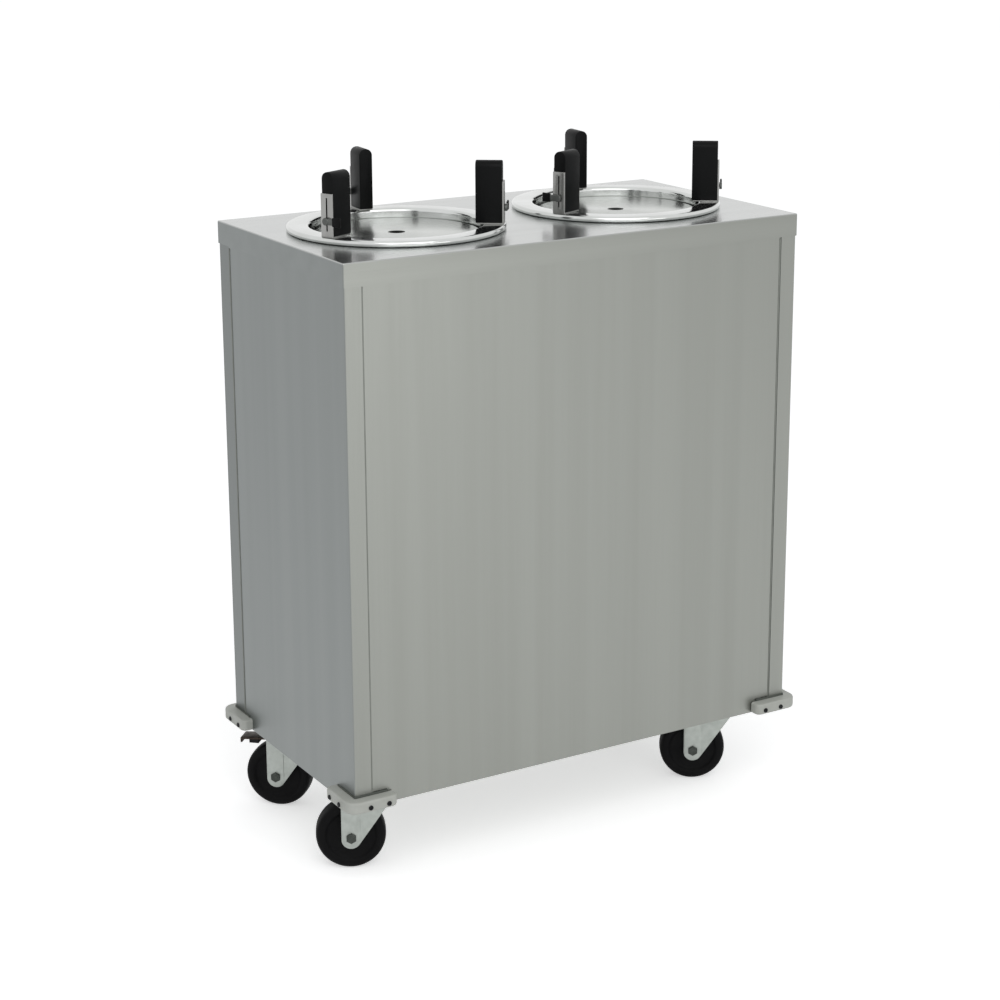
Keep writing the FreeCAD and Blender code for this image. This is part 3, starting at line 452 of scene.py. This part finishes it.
def arc(centre, radius, first, last, steps=6):
    """Points round an arc, as radii and heights."""
    turns = [math.radians(first + (last - first) * step / steps) for step in range(steps + 1)]
    return [(centre[0] + radius * math.cos(turn), centre[1] + radius * math.sin(turn)) for turn in turns]


RING_OUTER = 157
RING_INNER = 124
RING_ROUND = 5
RING_BEAD = (RING_TOP - DECK_TOP) / 2
RING_SHEET = 1.2
RIM_CURL = -95
RIM_STEPS = 12
SKIRT_LOW = 894
SLOT_LOW = (127.6, -3.4, 906)
SLOT_HIGH = (147.4, 3.4, 920)


def model_ring():
    """A flange ring rolled from sheet, its rim curled under, with slots for the tongues of three posts."""
    rim = RING_OUTER - RING_BEAD, RING_TOP - RING_BEAD
    inside = RING_INNER + RING_ROUND, RING_TOP - RING_ROUND
    profile = arc(rim, RING_BEAD, RIM_CURL, 90, RIM_STEPS) + arc(inside, RING_ROUND, 90, 180)
    profile += [(RING_INNER, SKIRT_LOW), (RING_INNER + RING_SHEET, SKIRT_LOW)]
    profile += arc(inside, RING_ROUND - RING_SHEET, 180, 90)
    profile += arc(rim, RING_BEAD - RING_SHEET, 90, RIM_CURL, RIM_STEPS)
    profile += profile[:1]
    ring = turned("flange_ring", profile, WELL_SIDES, ends=False)
    for angle in POSTS.values():
        slot = block("slot", SLOT_LOW, SLOT_HIGH)
        carve(ring, settle(slot, turn=(0, 0, angle)))
    return soften(ring)


CARRIER_RADIUS = 120
CARRIER_ROUND = 2
CARRIER_SHEET = 1.5
CARRIER_LOW = 885.5
CARRIER_FILLET = 1
HAND_HOLE = 12
HOLE_CHAMFER = 0.5


def model_carrier():
    """A round plate with a turned-down edge and a hand hole in its middle."""
    edge = CARRIER_RADIUS - CARRIER_ROUND, CARRIER_TOP - CARRIER_ROUND
    under = CARRIER_TOP - CARRIER_SHEET
    inner = CARRIER_RADIUS - CARRIER_SHEET
    profile = [(HAND_HOLE, under), (HAND_HOLE, CARRIER_TOP - HOLE_CHAMFER)]
    profile += [(HAND_HOLE + HOLE_CHAMFER, CARRIER_TOP)]
    profile += arc(edge, CARRIER_ROUND, 90, 0) + [(CARRIER_RADIUS, CARRIER_LOW), (inner, CARRIER_LOW)]
    profile += [(inner, under - CARRIER_FILLET), (inner - CARRIER_FILLET, under), (HAND_HOLE, under)]
    return soften(turned("carrier_plate", profile, WELL_SIDES, ends=False))


# Guide posts: X runs outwards from the axis of the well

POST_HALF = 10
FIN_FRONT, FIN_BACK = 114, 152
FIN_LOW, FIN_TOP = 915, 1003
FIN_ARCH = 9.5
BRACKET_FRONT, BRACKET_BACK = 116, 154.5
STRIP_RISE = 59
STRIP_SLOT = (151, -1.2, 922), (156, 1.2, 968)
TONGUE = (139, -3, 908), (147, 3, RING_TOP + 0.5)


def model_post_cover():
    """A black fin with an arched top."""
    cover = block("post_cover", (FIN_FRONT, -POST_HALF, FIN_LOW), (FIN_BACK, POST_HALF, FIN_TOP))
    pick(cover, "EDGE", lambda edge: runs_along(edge, 0) and middle(edge).z > FIN_TOP - 3)
    bpy.ops.mesh.bevel(offset=FIN_ARCH * MM, segments=10, profile=0.5, affect="EDGES")
    return soften(cover, 1.2, 3)


def model_post_bracket():
    """A steel foot with a slotted strip that stands up behind the fin, and a tongue below."""
    low, high = (BRACKET_FRONT, -POST_HALF, RING_TOP), (BRACKET_BACK, POST_HALF, FIN_LOW)
    bracket = block("post_bracket", low, high)
    bpy.ops.mesh.bisect(plane_co=(FIN_BACK * MM, 0, 0), plane_no=(1, 0, 0))
    pick(bracket, "FACE", lambda face: face.normal.z > FACING
         and face.calc_center_median().x > FIN_BACK * MM)
    bpy.ops.mesh.extrude_region_move(TRANSFORM_OT_translate={"value": (0, 0, STRIP_RISE * MM)})
    slot = block("slot", *STRIP_SLOT)
    let_go()
    carve(bracket, slot)
    tongue = soften(block("tongue", *TONGUE), 0.4, 2)
    return join(soften(bracket, 0.5, 2), tongue)


LEVER_HEIGHT = 936
LEVER_REACH = 26
HUB_SEAT = 154.8
ARM_INNER, ARM_OUTER = 156.2, 158.2
ARM_HALF = 4.5
ARM_IN_GRIP = 4
GRIP_START = 12
GRIP_INNER, GRIP_OUTER = 155.85, 158.75
GRIP_HALF = 6.2
GRIP_SPREAD = 1.1


def model_lever(sense):
    """A clamp lever: a small round hub on its pin, and a flat arm to one side."""
    hub = turned("clamp_lever", [(2, -2.5), (2, 0), (4.6, 0), (5.2, 0.5), (5.2, 3.4), (4.6, 4)], 40)
    soften(hub)
    settle(hub, (HUB_SEAT, 0, LEVER_HEIGHT), (0, 90, 0))
    near, far = sorted((0, (GRIP_START + ARM_IN_GRIP) * sense))
    low, high = (ARM_INNER, near, LEVER_HEIGHT - ARM_HALF), (ARM_OUTER, far, LEVER_HEIGHT + ARM_HALF)
    arm = block("arm", low, high)
    return join(hub, soften(arm, 0.6, 2))


def model_grip(sense):
    """The black grip at the end of a clamp lever, a little deeper at its tip."""
    near, far = sorted((GRIP_START * sense, LEVER_REACH * sense))
    low, high = (GRIP_INNER, near, LEVER_HEIGHT - GRIP_HALF), (GRIP_OUTER, far, LEVER_HEIGHT + GRIP_HALF)
    grip = block("lever_grip", low, high)
    pick(grip, "FACE", lambda face: face.normal.y * sense > FACING)
    bpy.ops.transform.resize(value=(1, 1, GRIP_SPREAD), center_override=(0, 0, LEVER_HEIGHT * MM))
    return soften(grip, 1.2, 3)


# Casters: X runs from the axle towards the kingpin, whose axis is Z

AXLE = (-35, 0, 50.8)
FOOT = (-35, 47.8)
FOOT_ARC = (180, 326)
FORK_HALF = 23
FORK_SHEET = 3
FORK_BEND = 5
CROWN_TOP = 117.7
CROWN_EDGE = 4
LEG_BACK = -49
LEG_RADIUS = 14
CROWN_FRONT = 28
LEG_FACE_INSET = 1
LEG_FACE_TOP = 110
LEG_FACE_SUNK = 0.5
LEG_FACE_RISE = 0.8


def model_wheel():
    """A solid rubber wheel on a hub that stands out on both sides."""
    half = [(5.3, 19.6), (13.4, 19.6), (14.8, 18.4), (15.2, 13.2), (17.5, 12.2), (33, 11.8), (35.6, 12.8)]
    half += [(37, 14.6), (39.5, 15.8), (44.5, 16), (47.6, 15), (49.6, 12.6), (50.5, 9), (50.79, 4.5)]
    profile = half + [(radius, -height) for radius, height in reversed(half)] + half[:1]
    wheel = soften(turned("wheel", profile, 96, ends=False))
    return settle(wheel, AXLE, (90, 0, 0))


def model_leg_face(side):
    """The pressed face of a fork leg, a little proud of the leg, that runs down and round its foot."""
    foot = arc(FOOT, LEG_RADIUS - LEG_FACE_INSET, 180, 360, 12)
    rim = [(foot[0][0], LEG_FACE_TOP)] + foot + [(foot[-1][0], LEG_FACE_TOP)]
    face = outline("leg_face", [(x, side * (FORK_HALF - LEG_FACE_SUNK), z) for x, z in rim])
    rise = (0, side * (LEG_FACE_SUNK + LEG_FACE_RISE) * MM, 0)
    bpy.ops.mesh.extrude_region_move(TRANSFORM_OT_translate={"value": rise})
    bpy.ops.mesh.select_all(action="SELECT")
    bpy.ops.mesh.normals_make_consistent(inside=False)
    return soften(face, 0.5, 2)


def model_fork():
    """A fork folded from one sheet: two legs with round feet and pressed faces, under a flat crown."""
    foot = arc(FOOT, LEG_RADIUS, *FOOT_ARC, 12)
    side = [(LEG_BACK, CROWN_TOP)] + foot + [(CROWN_FRONT, CROWN_TOP - CROWN_EDGE), (CROWN_FRONT, CROWN_TOP)]
    fork = outline("fork", [(x, -FORK_HALF, z) for x, z in side])
    bpy.ops.mesh.extrude_region_move(TRANSFORM_OT_translate={"value": (0, 2 * FORK_HALF * MM, 0)})
    bpy.ops.mesh.select_all(action="SELECT")
    bpy.ops.mesh.normals_make_consistent(inside=False)
    pick(fork, "FACE", lambda face: abs(face.normal.y) < 0.5 and face.normal.z < FACING)
    bpy.ops.mesh.delete(type="FACE")
    pick(fork, "EDGE", lambda edge: runs_along(edge, 0) and middle(edge).z > CROWN_TOP - 1)
    bpy.ops.mesh.bevel(offset=FORK_BEND * MM, segments=5, profile=0.5, affect="EDGES")
    change(fork, "SOLIDIFY", thickness=FORK_SHEET * MM, offset=-1, use_even_offset=True)
    return join(soften(fork, 0.6, 2), model_leg_face(-1), model_leg_face(1))


def model_axle():
    """An axle bolt: a hexagon head, and a nut with the thread's end standing out of it."""
    parts = []
    for sign in (-1, 1):
        head = turned("head", [(8, FORK_HALF), (8, 26.4), (7, 27.2)], 6)
        tip = turned("tip", [(4.2, 26), (4.2, 27.6), (3.6, 28)], 24)
        for part in (head, tip):
            soften(part)
            parts.append(settle(part, AXLE, (90 * sign, 0, 0)))
    pin = soften(turned("pin", [(5, -FORK_HALF), (5, FORK_HALF)], 32))
    return join(settle(pin, AXLE, (90, 0, 0)), *parts)


PEDAL_PIVOT = (-20, 0, 109.2)
PEDAL_TIP = -94
PEDAL_HALF = 13
PEDAL_LOW, PEDAL_HIGH = 107.7, 110.7
PEDAL_FALL = 4.5
TIP_THICK = 3
TIP_DROP = 5
PAD_BACK, PAD_FRONT = -80, -65
PAD_HALF = 12
PAD_LOW, PAD_HIGH = 98.5, 105
PAD_RIBS = 7
PAD_GROOVE = 0.8


def model_pedal():
    """A brake pedal: a plate that falls a little from its pivot tube, with its tip bent down."""
    low, high = (PEDAL_TIP, -PEDAL_HALF, PEDAL_LOW), (PEDAL_PIVOT[0], PEDAL_HALF, PEDAL_HIGH)
    plate = block("brake_pedal", low, high)
    fold = PEDAL_TIP + TIP_THICK
    bpy.ops.mesh.bisect(plane_co=(fold * MM, 0, 0), plane_no=(1, 0, 0))
    pick(plate, "FACE", lambda face: face.normal.z < -FACING and face.calc_center_median().x < fold * MM)
    bpy.ops.mesh.extrude_region_move(TRANSFORM_OT_translate={"value": (0, 0, -TIP_DROP * MM)})
    for place in (PEDAL_TIP, fold):
        pick(plate, "VERT", lambda corner: abs(corner.co.x - place * MM) < 0.1 * MM)
        fall = PEDAL_FALL * (place - PEDAL_PIVOT[0]) / (PEDAL_PIVOT[0] - PEDAL_TIP)
        bpy.ops.transform.translate(value=(0, 0, fall * MM))
    soften(plate, 0.8, 3)
    tube = soften(turned("tube", [(3.2, -13), (3.6, -12.6), (3.6, 12.6), (3.2, 13)], 32))
    pin = soften(turned("pin", [(2.5, -FORK_HALF), (2.5, FORK_HALF)], 24))
    return join(plate, settle(tube, PEDAL_PIVOT, (90, 0, 0)), settle(pin, PEDAL_PIVOT, (90, 0, 0)))


def model_pedal_pad():
    """A ribbed rubber shoe under a pedal."""
    pad = block("pedal_pad", (PAD_BACK, -PAD_HALF, PAD_LOW), (PAD_FRONT, PAD_HALF, PAD_HIGH))
    bpy.ops.mesh.subdivide(number_cuts=PAD_RIBS - 1)
    rib = (PAD_FRONT - PAD_BACK) / PAD_RIBS
    pick(pad, "FACE", lambda face: face.normal.z < -FACING
         and int((face.calc_center_median().x / MM - PAD_BACK) / rib) % 2)
    bpy.ops.mesh.extrude_region_move(TRANSFORM_OT_translate={"value": (0, 0, PAD_GROOVE * MM)})
    return soften(pad, 0.3, 2)


PLATE = (-30, -46, 127), (30, 46, 130)
PLATE_CORNER = 9
BOLT_X, BOLT_Y = 22.25, 36.5


def model_caster_plate():
    """A top plate with rounded corners, and the two-part raceway under it."""
    plate = block("caster_plate", *PLATE)
    pick(plate, "EDGE", lambda edge: runs_along(edge, 2))
    bpy.ops.mesh.bevel(offset=PLATE_CORNER * MM, segments=6, profile=0.5, affect="EDGES")
    soften(plate, 0.5, 2)
    profile = [(20, 127), (24, 127), (26, 125.4), (26, 123.2), (25.2, 122.6), (26, 122), (26, 119.6)]
    profile += [(24, 118)]
    return join(plate, soften(turned("raceway", profile, 72)))


def model_kingpin():
    """A kingpin with its riveted head under the crown."""
    profile = [(6, 127), (6, 113.4), (8.6, 113.4), (9, 113), (9, 110.6), (8, 109.4)]
    return soften(turned("kingpin", profile, 40))


def model_bolt():
    """A hexagon bolt through the top plate, with its nut inside the cabinet."""
    head = soften(turned("caster_bolt", [(6, 122), (6.5, 122.6), (6.5, 127)], 6))
    shank = soften(turned("shank", [(4, 126), (4, 143.5)], 24))
    nut = soften(turned("nut", [(6.5, 134.5), (6.5, 138.9), (6, 139.5)], 6))
    return join(head, shank, nut)


# Small fasteners, the dark strips of painted shade above the bumpers and in the front joints, and the strips
# along the rear seams

# The cross recess of a screw, as parts of the radius and of the rise of its head
RECESS_REACH, RECESS_WIDTH, RECESS_FLOOR = 0.55, 0.13, 0.45
# Painted shade: the dark strip above each bumper, and the grey strip in each front joint
SHADE_STRIP_REACH, SHADE_STRIP_THICK = 52, 0.9
SHADE_STRIP_LOW, SHADE_STRIP_HIGH = 147, 150.5
FRONT_JOINT = (-1.3, -198.9, 132), (1.3, -198.1, 870)
REAR_JOINT = (-0.7, REAR_SEAM - 3, 150.6), (0.7, REAR_SEAM, 868)


def model_screw(radius, rise):
    """A pan-head screw with a cross recess, its head towards +Z."""
    dome = [(radius, 0), (radius, 0.35 * rise)]
    dome += [(radius * inwards, rise * up) for inwards, up in ((0.93, 0.7), (0.78, 0.9), (0.5, 1))]
    head = turned("screw", dome, 32)
    soften(head)
    reach, width, floor = RECESS_REACH * radius, RECESS_WIDTH * radius, RECESS_FLOOR * rise
    for across, along in ((reach, width), (width, reach)):
        tool = block("recess", (-across, -along, floor), (across, along, 2 * rise))
        let_go()
        carve(head, tool)
    return soften(head)


def model_bumper_shade():
    """A dark strip of painted shade along the top of a bumper, round a corner whose sides run towards -X and
    -Y.
    """
    points = [(-SHADE_STRIP_REACH, 0), (-SHADE_STRIP_REACH, SHADE_STRIP_THICK), (SHADE_STRIP_THICK, SHADE_STRIP_THICK)]
    points += [(SHADE_STRIP_THICK, -SHADE_STRIP_REACH), (0, -SHADE_STRIP_REACH), (0, 0)]
    bumper_shade = outline("bumper_shade", [(x, y, SHADE_STRIP_LOW) for x, y in points])
    rise = (0, 0, (SHADE_STRIP_HIGH - SHADE_STRIP_LOW) * MM)
    bpy.ops.mesh.extrude_region_move(TRANSFORM_OT_translate={"value": rise})
    bpy.ops.mesh.select_all(action="SELECT")
    bpy.ops.mesh.normals_make_consistent(inside=False)
    return soften(bumper_shade, 0.4, 2)


def model_joint():
    """A grey strip in the corner between the front panel and the flange of a side panel, painted shade for
    the shadow in that joint.
    """
    return soften(block("joint", *FRONT_JOINT), 0.4, 2)


def model_rear_joint(name):
    """A grey strip along the rear seam of a side panel."""
    return soften(block(name, *REAR_JOINT), 0.4, 2)


# Controls in the recess of the back panel

FLUTE_TURN = 7.5
FLUTE_LOW = 14
FLUTE_DEPTH = 0.6
ROCKER = (-9, -5, -11), (9, 6, 11)
ROCKER_TROUGH = 1.4
ROCKER_PIVOT = 152.5
ROCKER_TILT = -9
SWITCH_BODY = (-13, -20, -17), (13, 0, 17)
SWITCH_BEZEL = (-16, 0, -20), (16, 2, 20)
SWITCH_WELL = (-9.5, -12, -13), (9.5, 4, 13)
KNOB_X, GLAND_X = -55, 60


def model_knob():
    """A dial knob with a fluted grip and a raised pointer; its axis is Z, from the panel outwards."""
    knob = turned("thermostat_knob", [(4.9, 5), (4.9, 11), (16.6, 11), (17, 11.6), (16.4, 24), (15, 26)], 48)
    pick(knob, "FACE", lambda face: abs(face.normal.z) < 0.3 and face.calc_center_median().z > FLUTE_LOW * MM
         and int(math.degrees(math.atan2(face.normal.y, face.normal.x)) % 360 / FLUTE_TURN) % 2)
    bpy.ops.mesh.inset(thickness=0.2 * MM, depth=-FLUTE_DEPTH * MM, use_individual=True)
    soften(knob, angle=30)
    pointer = soften(block("pointer", (-1.5, 0.5, 25.6), (1.5, 16, 27.8)), 0.6, 2)
    return join(knob, pointer)


def model_rocker():
    """A rocker with a shallow trough across its middle; Y points out of the panel."""
    rocker = block("rocker_switch", *ROCKER)
    bpy.ops.mesh.bisect(plane_co=(0, 0, 0), plane_no=(0, 0, 1))
    pick(rocker, "VERT", lambda corner: abs(corner.co.z) < 0.1 * MM and corner.co.y > 0)
    bpy.ops.transform.translate(value=(0, -ROCKER_TROUGH * MM, 0))
    return soften(rocker, 0.7, 3, 5)


def model_switch_housing():
    """A switch body with a raised bezel round its well."""
    body = block("switch_housing", *SWITCH_BODY)
    soften(body, 0.5, 2)
    bezel = block("bezel", *SWITCH_BEZEL)
    soften(bezel, 0.9, 3)
    join(body, bezel)
    well = block("well", *SWITCH_WELL)
    let_go()
    carve(body, well)
    return soften(body)


def model_gland():
    """A cord gland: a hexagon collar and a ribbed, tapered nose round its bore; its axis is Z, outwards."""
    profile = [(4.5, -12), (7.4, -12), (8, -11.4), (8, 4), (10.2, 4), (10.2, 5.6), (9, 6), (9, 7), (9.8, 7.4)]
    profile += [(9.6, 8.8), (8.6, 9.2), (8.6, 10), (9.2, 10.4), (8.9, 11.8), (7, 13), (4.5, 13), (4.5, -12)]
    neck = soften(turned("cord_gland", profile, 48, ends=False), angle=30)
    profile = [(8.02, 0), (11.4, 0), (12, 0.6), (12, 3.4), (11.4, 4), (8.02, 4), (8.02, 0)]
    return join(neck, soften(turned("collar", profile, 6, ends=False)))


# Put the pieces on the dispenser

ring = model_ring()
carrier = model_carrier()
cover = model_post_cover()
bracket = model_post_bracket()
levers = {sense: model_lever(sense) for sense in (1, -1)}
grips = {sense: model_grip(sense) for sense in (1, -1)}
for hand, x in WELLS.items():
    piece = settle(copy_of(ring, f"{hand}_ring"), (x, 0, 0))
    fit(piece, "cabinet", ring_steel[hand], "polished_steel", f"{hand}_flange_ring")
    piece = settle(copy_of(carrier, f"{hand}_carrier"), (x, 0, 0))
    fit(piece, f"{hand}_carrier", carrier_steel[hand], "polished_steel", f"{hand}_carrier_plate")
    for spot, angle in POSTS.items():
        name = f"{hand}_{spot}"
        place = ((x, 0, 0), (0, 0, angle))
        piece = settle(copy_of(cover, f"{name}_fin"), *place)
        fit(piece, f"{name}_guide", post_nylon, "post_plastic", f"{name}_guide_cover")
        piece = settle(copy_of(bracket, f"{name}_strip"), *place)
        fit(piece, f"{name}_guide", post_steel, "post_steel", f"{name}_guide_bracket")
        sense = LEVER_SENSES.get((hand, spot), 1)
        piece = settle(copy_of(levers[sense], f"{name}_clamp"), *place)
        fit(piece, f"{name}_lever", clamp_steel, "post_steel", f"{name}_clamp_lever")
        piece = settle(copy_of(grips[sense], f"{name}_grip"), *place)
        fit(piece, f"{name}_lever", post_nylon, "lever_plastic", f"{name}_clamp_lever")

wheel = model_wheel()
fork = model_fork()
axle = model_axle()
pedal = model_pedal()
pad = model_pedal_pad()
caster_plate = model_caster_plate()
kingpin = model_kingpin()
bolt = model_bolt()
for name, (x, y, turn) in CASTERS.items():
    place = ((x, y, 0), (0, 0, turn))
    piece = settle(copy_of(wheel, f"{name}_tyre"), *place)
    fit(piece, f"{name}_wheel", wheel_rubber, "wheel_rubber", f"{name}_wheel")
    piece = settle(copy_of(fork, f"{name}_yoke"), *place)
    fit(piece, f"{name}_caster", zinc, "zinc_plate", f"{name}_fork")
    piece = settle(copy_of(axle, f"{name}_axle_bolt"), *place)
    fit(piece, f"{name}_caster", dark_zinc, "zinc_plate", f"{name}_axle")
    if name in BRAKED:
        piece = settle(copy_of(pedal, f"{name}_pedal"), *place)
        fit(piece, f"{name}_brake", pedal_steel, "pedal_steel", f"{name}_brake_pedal")
        piece = settle(copy_of(pad, f"{name}_pedal_pad"), *place)
        fit(piece, f"{name}_brake", pad_rubber, "pedal_steel", f"{name}_brake_pedal")
    piece = settle(copy_of(caster_plate, f"{name}_top_plate"), (x, y, 0))
    fit(piece, "cabinet", zinc, "zinc_plate", "caster_plates")
    piece = settle(copy_of(kingpin, f"{name}_kingpin"), (x, y, 0))
    fit(piece, "cabinet", zinc, "zinc_plate", "caster_plates")
    for step, (across, along) in enumerate(((-1, -1), (-1, 1), (1, -1), (1, 1)), 1):
        spot = (x + across * BOLT_X, y + along * BOLT_Y, 0)
        piece = settle(copy_of(bolt, f"{name}_bolt_{step}"), spot)
        fit(piece, "cabinet", dark_zinc, "zinc_plate", "caster_bolts")

# Two dark screws in each leg of a bumper, and a dark strip of painted shade above it
PANEL_X, PANEL_Y = 373.5, 199.5
BUMPER_REACH = 17
SCREW_HEIGHT = 136.5
SCREW_REACHES = (16, 45)
CORNERS = {"front_left": (-1, -1), "rear_left": (-1, 1), "front_right": (1, -1), "rear_right": (1, 1)}
SHADE_STRIP_TURNS = {"front_left": 180, "rear_left": 90, "front_right": -90, "rear_right": 0}
bumper_screw = model_screw(3.6, 2)
bumper_shade = model_bumper_shade()
for name, (side_x, side_y) in CORNERS.items():
    corner = (side_x * PANEL_X, side_y * PANEL_Y, 0)
    piece = settle(copy_of(bumper_shade, f"{name}_seal"), corner, (0, 0, SHADE_STRIP_TURNS[name]))
    fit(piece, "cabinet", bumper_shade_strip, "bumper_vinyl")
    for step, reach in enumerate(SCREW_REACHES, 1):
        spot = (side_x * (PANEL_X - reach), side_y * (PANEL_Y + BUMPER_REACH), SCREW_HEIGHT)
        piece = settle(copy_of(bumper_screw, f"{name}_end_screw_{step}"), spot, (-90 * side_y, 0, 0))
        fit(piece, "cabinet", black_oxide, "dark_screw", "bumper_screws")
        spot = (side_x * (PANEL_X + BUMPER_REACH), side_y * (PANEL_Y - reach), SCREW_HEIGHT)
        piece = settle(copy_of(bumper_screw, f"{name}_side_screw_{step}"), spot, (0, 90 * side_x, 0))
        fit(piece, "cabinet", black_oxide, "dark_screw", "bumper_screws")

# A grey strip of painted shade in the joint along each flange of the front, and a grey strip along the rear
# seam of each side
FLANGE_EDGE = 346.2
joint = model_joint()
for hand, side in (("left", -1), ("right", 1)):
    piece = settle(copy_of(joint, f"front_{hand}_joint"), (side * FLANGE_EDGE, 0, 0))
    fit(piece, "cabinet", joint_strip, "stainless_sheet")
    piece = settle(model_rear_joint(f"rear_{hand}_joint"), (side * PANEL_X, 0, 0))
    fit(piece, "cabinet", joint_strip, "stainless_sheet")

# Screws that hold the back panel and the rim of the control box
back_screw = model_screw(3.6, 1.6)
BACK_SCREWS = [(x, z) for x in (-360, 360) for z in (190, 410, 630, 845)]
BACK_SCREWS += [(x, z) for x in (-101, 101) for z in (234, 285, 336)]
BACK_SCREWS += [(x, z) for x in (-40, 40) for z in (234, 336)]
for step, (x, z) in enumerate(BACK_SCREWS, 1):
    piece = settle(copy_of(back_screw, f"back_screw_{step}"), (x, BACK_FACE, z), (-90, 0, 0))
    fit(piece, "cabinet", dark_zinc, "zinc_plate")

outwards = (-90, 0, 0)
piece = settle(model_knob(), (KNOB_X, CONTROL_FACE, CONTROL_MIDDLE), outwards)
piece.name = "dial_knob"
fit(piece, "knob", control_plastic, "switch_plastic", "thermostat_knob")
piece = settle(model_rocker(), (0, ROCKER_PIVOT, CONTROL_MIDDLE), (ROCKER_TILT, 0, 0))
piece.name = "red_rocker"
fit(piece, "rocker", lens_plastic, "red_lens", "rocker_switch")
piece = settle(model_switch_housing(), (0, CONTROL_FACE, CONTROL_MIDDLE))
piece.name = "switch_body"
fit(piece, "cabinet", control_plastic, "switch_plastic", "switch_housing")
piece = settle(model_gland(), (GLAND_X, CONTROL_FACE, CONTROL_MIDDLE), outwards)
piece.name = "inlet_gland"
fit(piece, "cabinet", control_plastic, "switch_plastic", "cord_gland")

patterns = [ring, carrier, cover, bracket, *levers.values(), *grips.values(), wheel, fork, axle, pedal, pad]
for pattern in patterns + [caster_plate, kingpin, bolt, bumper_screw, bumper_shade, joint, back_screw]:
    bpy.data.objects.remove(pattern)


# Floor, light and camera, in metres

FLOOR_SIZE = 40
FLOOR_GLOW = 0.5
SOFT_LIGHT = 0.6


def seen_or_mirrored(tree):
    """One where a surface is seen directly, mirrored or through glass, and zero where it only gives light."""
    path = add(tree, "ShaderNodeLightPath")
    rays = {0: path.outputs["Is Camera Ray"], 1: path.outputs["Is Glossy Ray"]}
    direct = add(tree, "ShaderNodeMath", rays, operation="MAXIMUM")
    rays = {0: direct.outputs["Value"], 1: path.outputs["Is Transmission Ray"]}
    return add(tree, "ShaderNodeMath", rays, operation="MAXIMUM").outputs["Value"]


let_go()
bpy.ops.mesh.primitive_plane_add(size=FLOOR_SIZE)
floor = bpy.context.object
floor.name = "studio_floor"
finish, tree, place = new_finish("white studio floor")
seen = add(tree, "ShaderNodeMath", {0: seen_or_mirrored(tree), 1: FLOOR_GLOW}, operation="MULTIPLY")
speckle = noise(tree, place, 400, 2)
white = blend(tree, between(tree, speckle, 0, 1), "#F4F4F4", "#F1F1F1")
surface(tree, {"Base Color": white, "Roughness": 0.9, "Specular IOR Level": 0.0,
               "Emission Color": (1, 1, 1, 1), "Emission Strength": seen.outputs["Value"]})
floor.data.materials.append(finish)

scene = bpy.context.scene
scene.view_settings.view_transform = "Standard"
world = bpy.data.worlds.new("studio")
scene.world = world
world.use_nodes = True
tree = world.node_tree
tree.nodes.clear()
soft = add(tree, "ShaderNodeBackground", {"Color": (0.98, 0.99, 1, 1), "Strength": SOFT_LIGHT})
white = add(tree, "ShaderNodeBackground", {"Color": (1, 1, 1, 1), "Strength": 1})
mixed = add(tree, "ShaderNodeMixShader", {0: seen_or_mirrored(tree), 1: soft.outputs[0], 2: white.outputs[0]})
add(tree, "ShaderNodeOutputWorld", {"Surface": mixed.outputs[0]})

# A softbox above the floor in front, and a low one at the front right that brightens the front panel:
# the size and power of each, where it stands and where it points
LAMPS = {
    "softbox": (2.4, 32, (-0.9, -2.4, 2.4), (-0.6, -1.4, 0)),
    "low_softbox": (1.3, 6.5, (0.75, -3.3, 0.75), (-0.2, -0.2, 0.6)),
}
for name, (size, power, spot, target) in LAMPS.items():
    lamp = bpy.data.lights.new(name, "AREA")
    lamp.size = size
    lamp.energy = power
    softbox = bpy.data.objects.new(name, lamp)
    softbox.location = spot
    softbox.rotation_euler = (Vector(target) - softbox.location).to_track_quat("-Z", "Y").to_euler()
    scene.collection.objects.link(softbox)

VIEW_SPOT = (-1.674, -2.783, 1.449)
VIEW_TURN = -30.77
VIEW_TILT = 14.58
VIEW_ROLL = -0.26
VIEW_ZOOM = 2.241
VIEW_SHIFT = -0.085
lens = bpy.data.cameras.new("camera")
lens.sensor_width = 36
lens.lens = VIEW_ZOOM * lens.sensor_width
lens.shift_y = VIEW_SHIFT
camera = bpy.data.objects.new("camera", lens)
camera.location = VIEW_SPOT
look = Matrix.Identity(3)
for axis, angle in (("Z", VIEW_TURN), ("X", 90 - VIEW_TILT), ("Z", VIEW_ROLL)):
    look = look @ Matrix.Rotation(math.radians(angle), 3, axis)
camera.rotation_euler = look.to_euler()
scene.collection.objects.link(camera)
scene.camera = camera
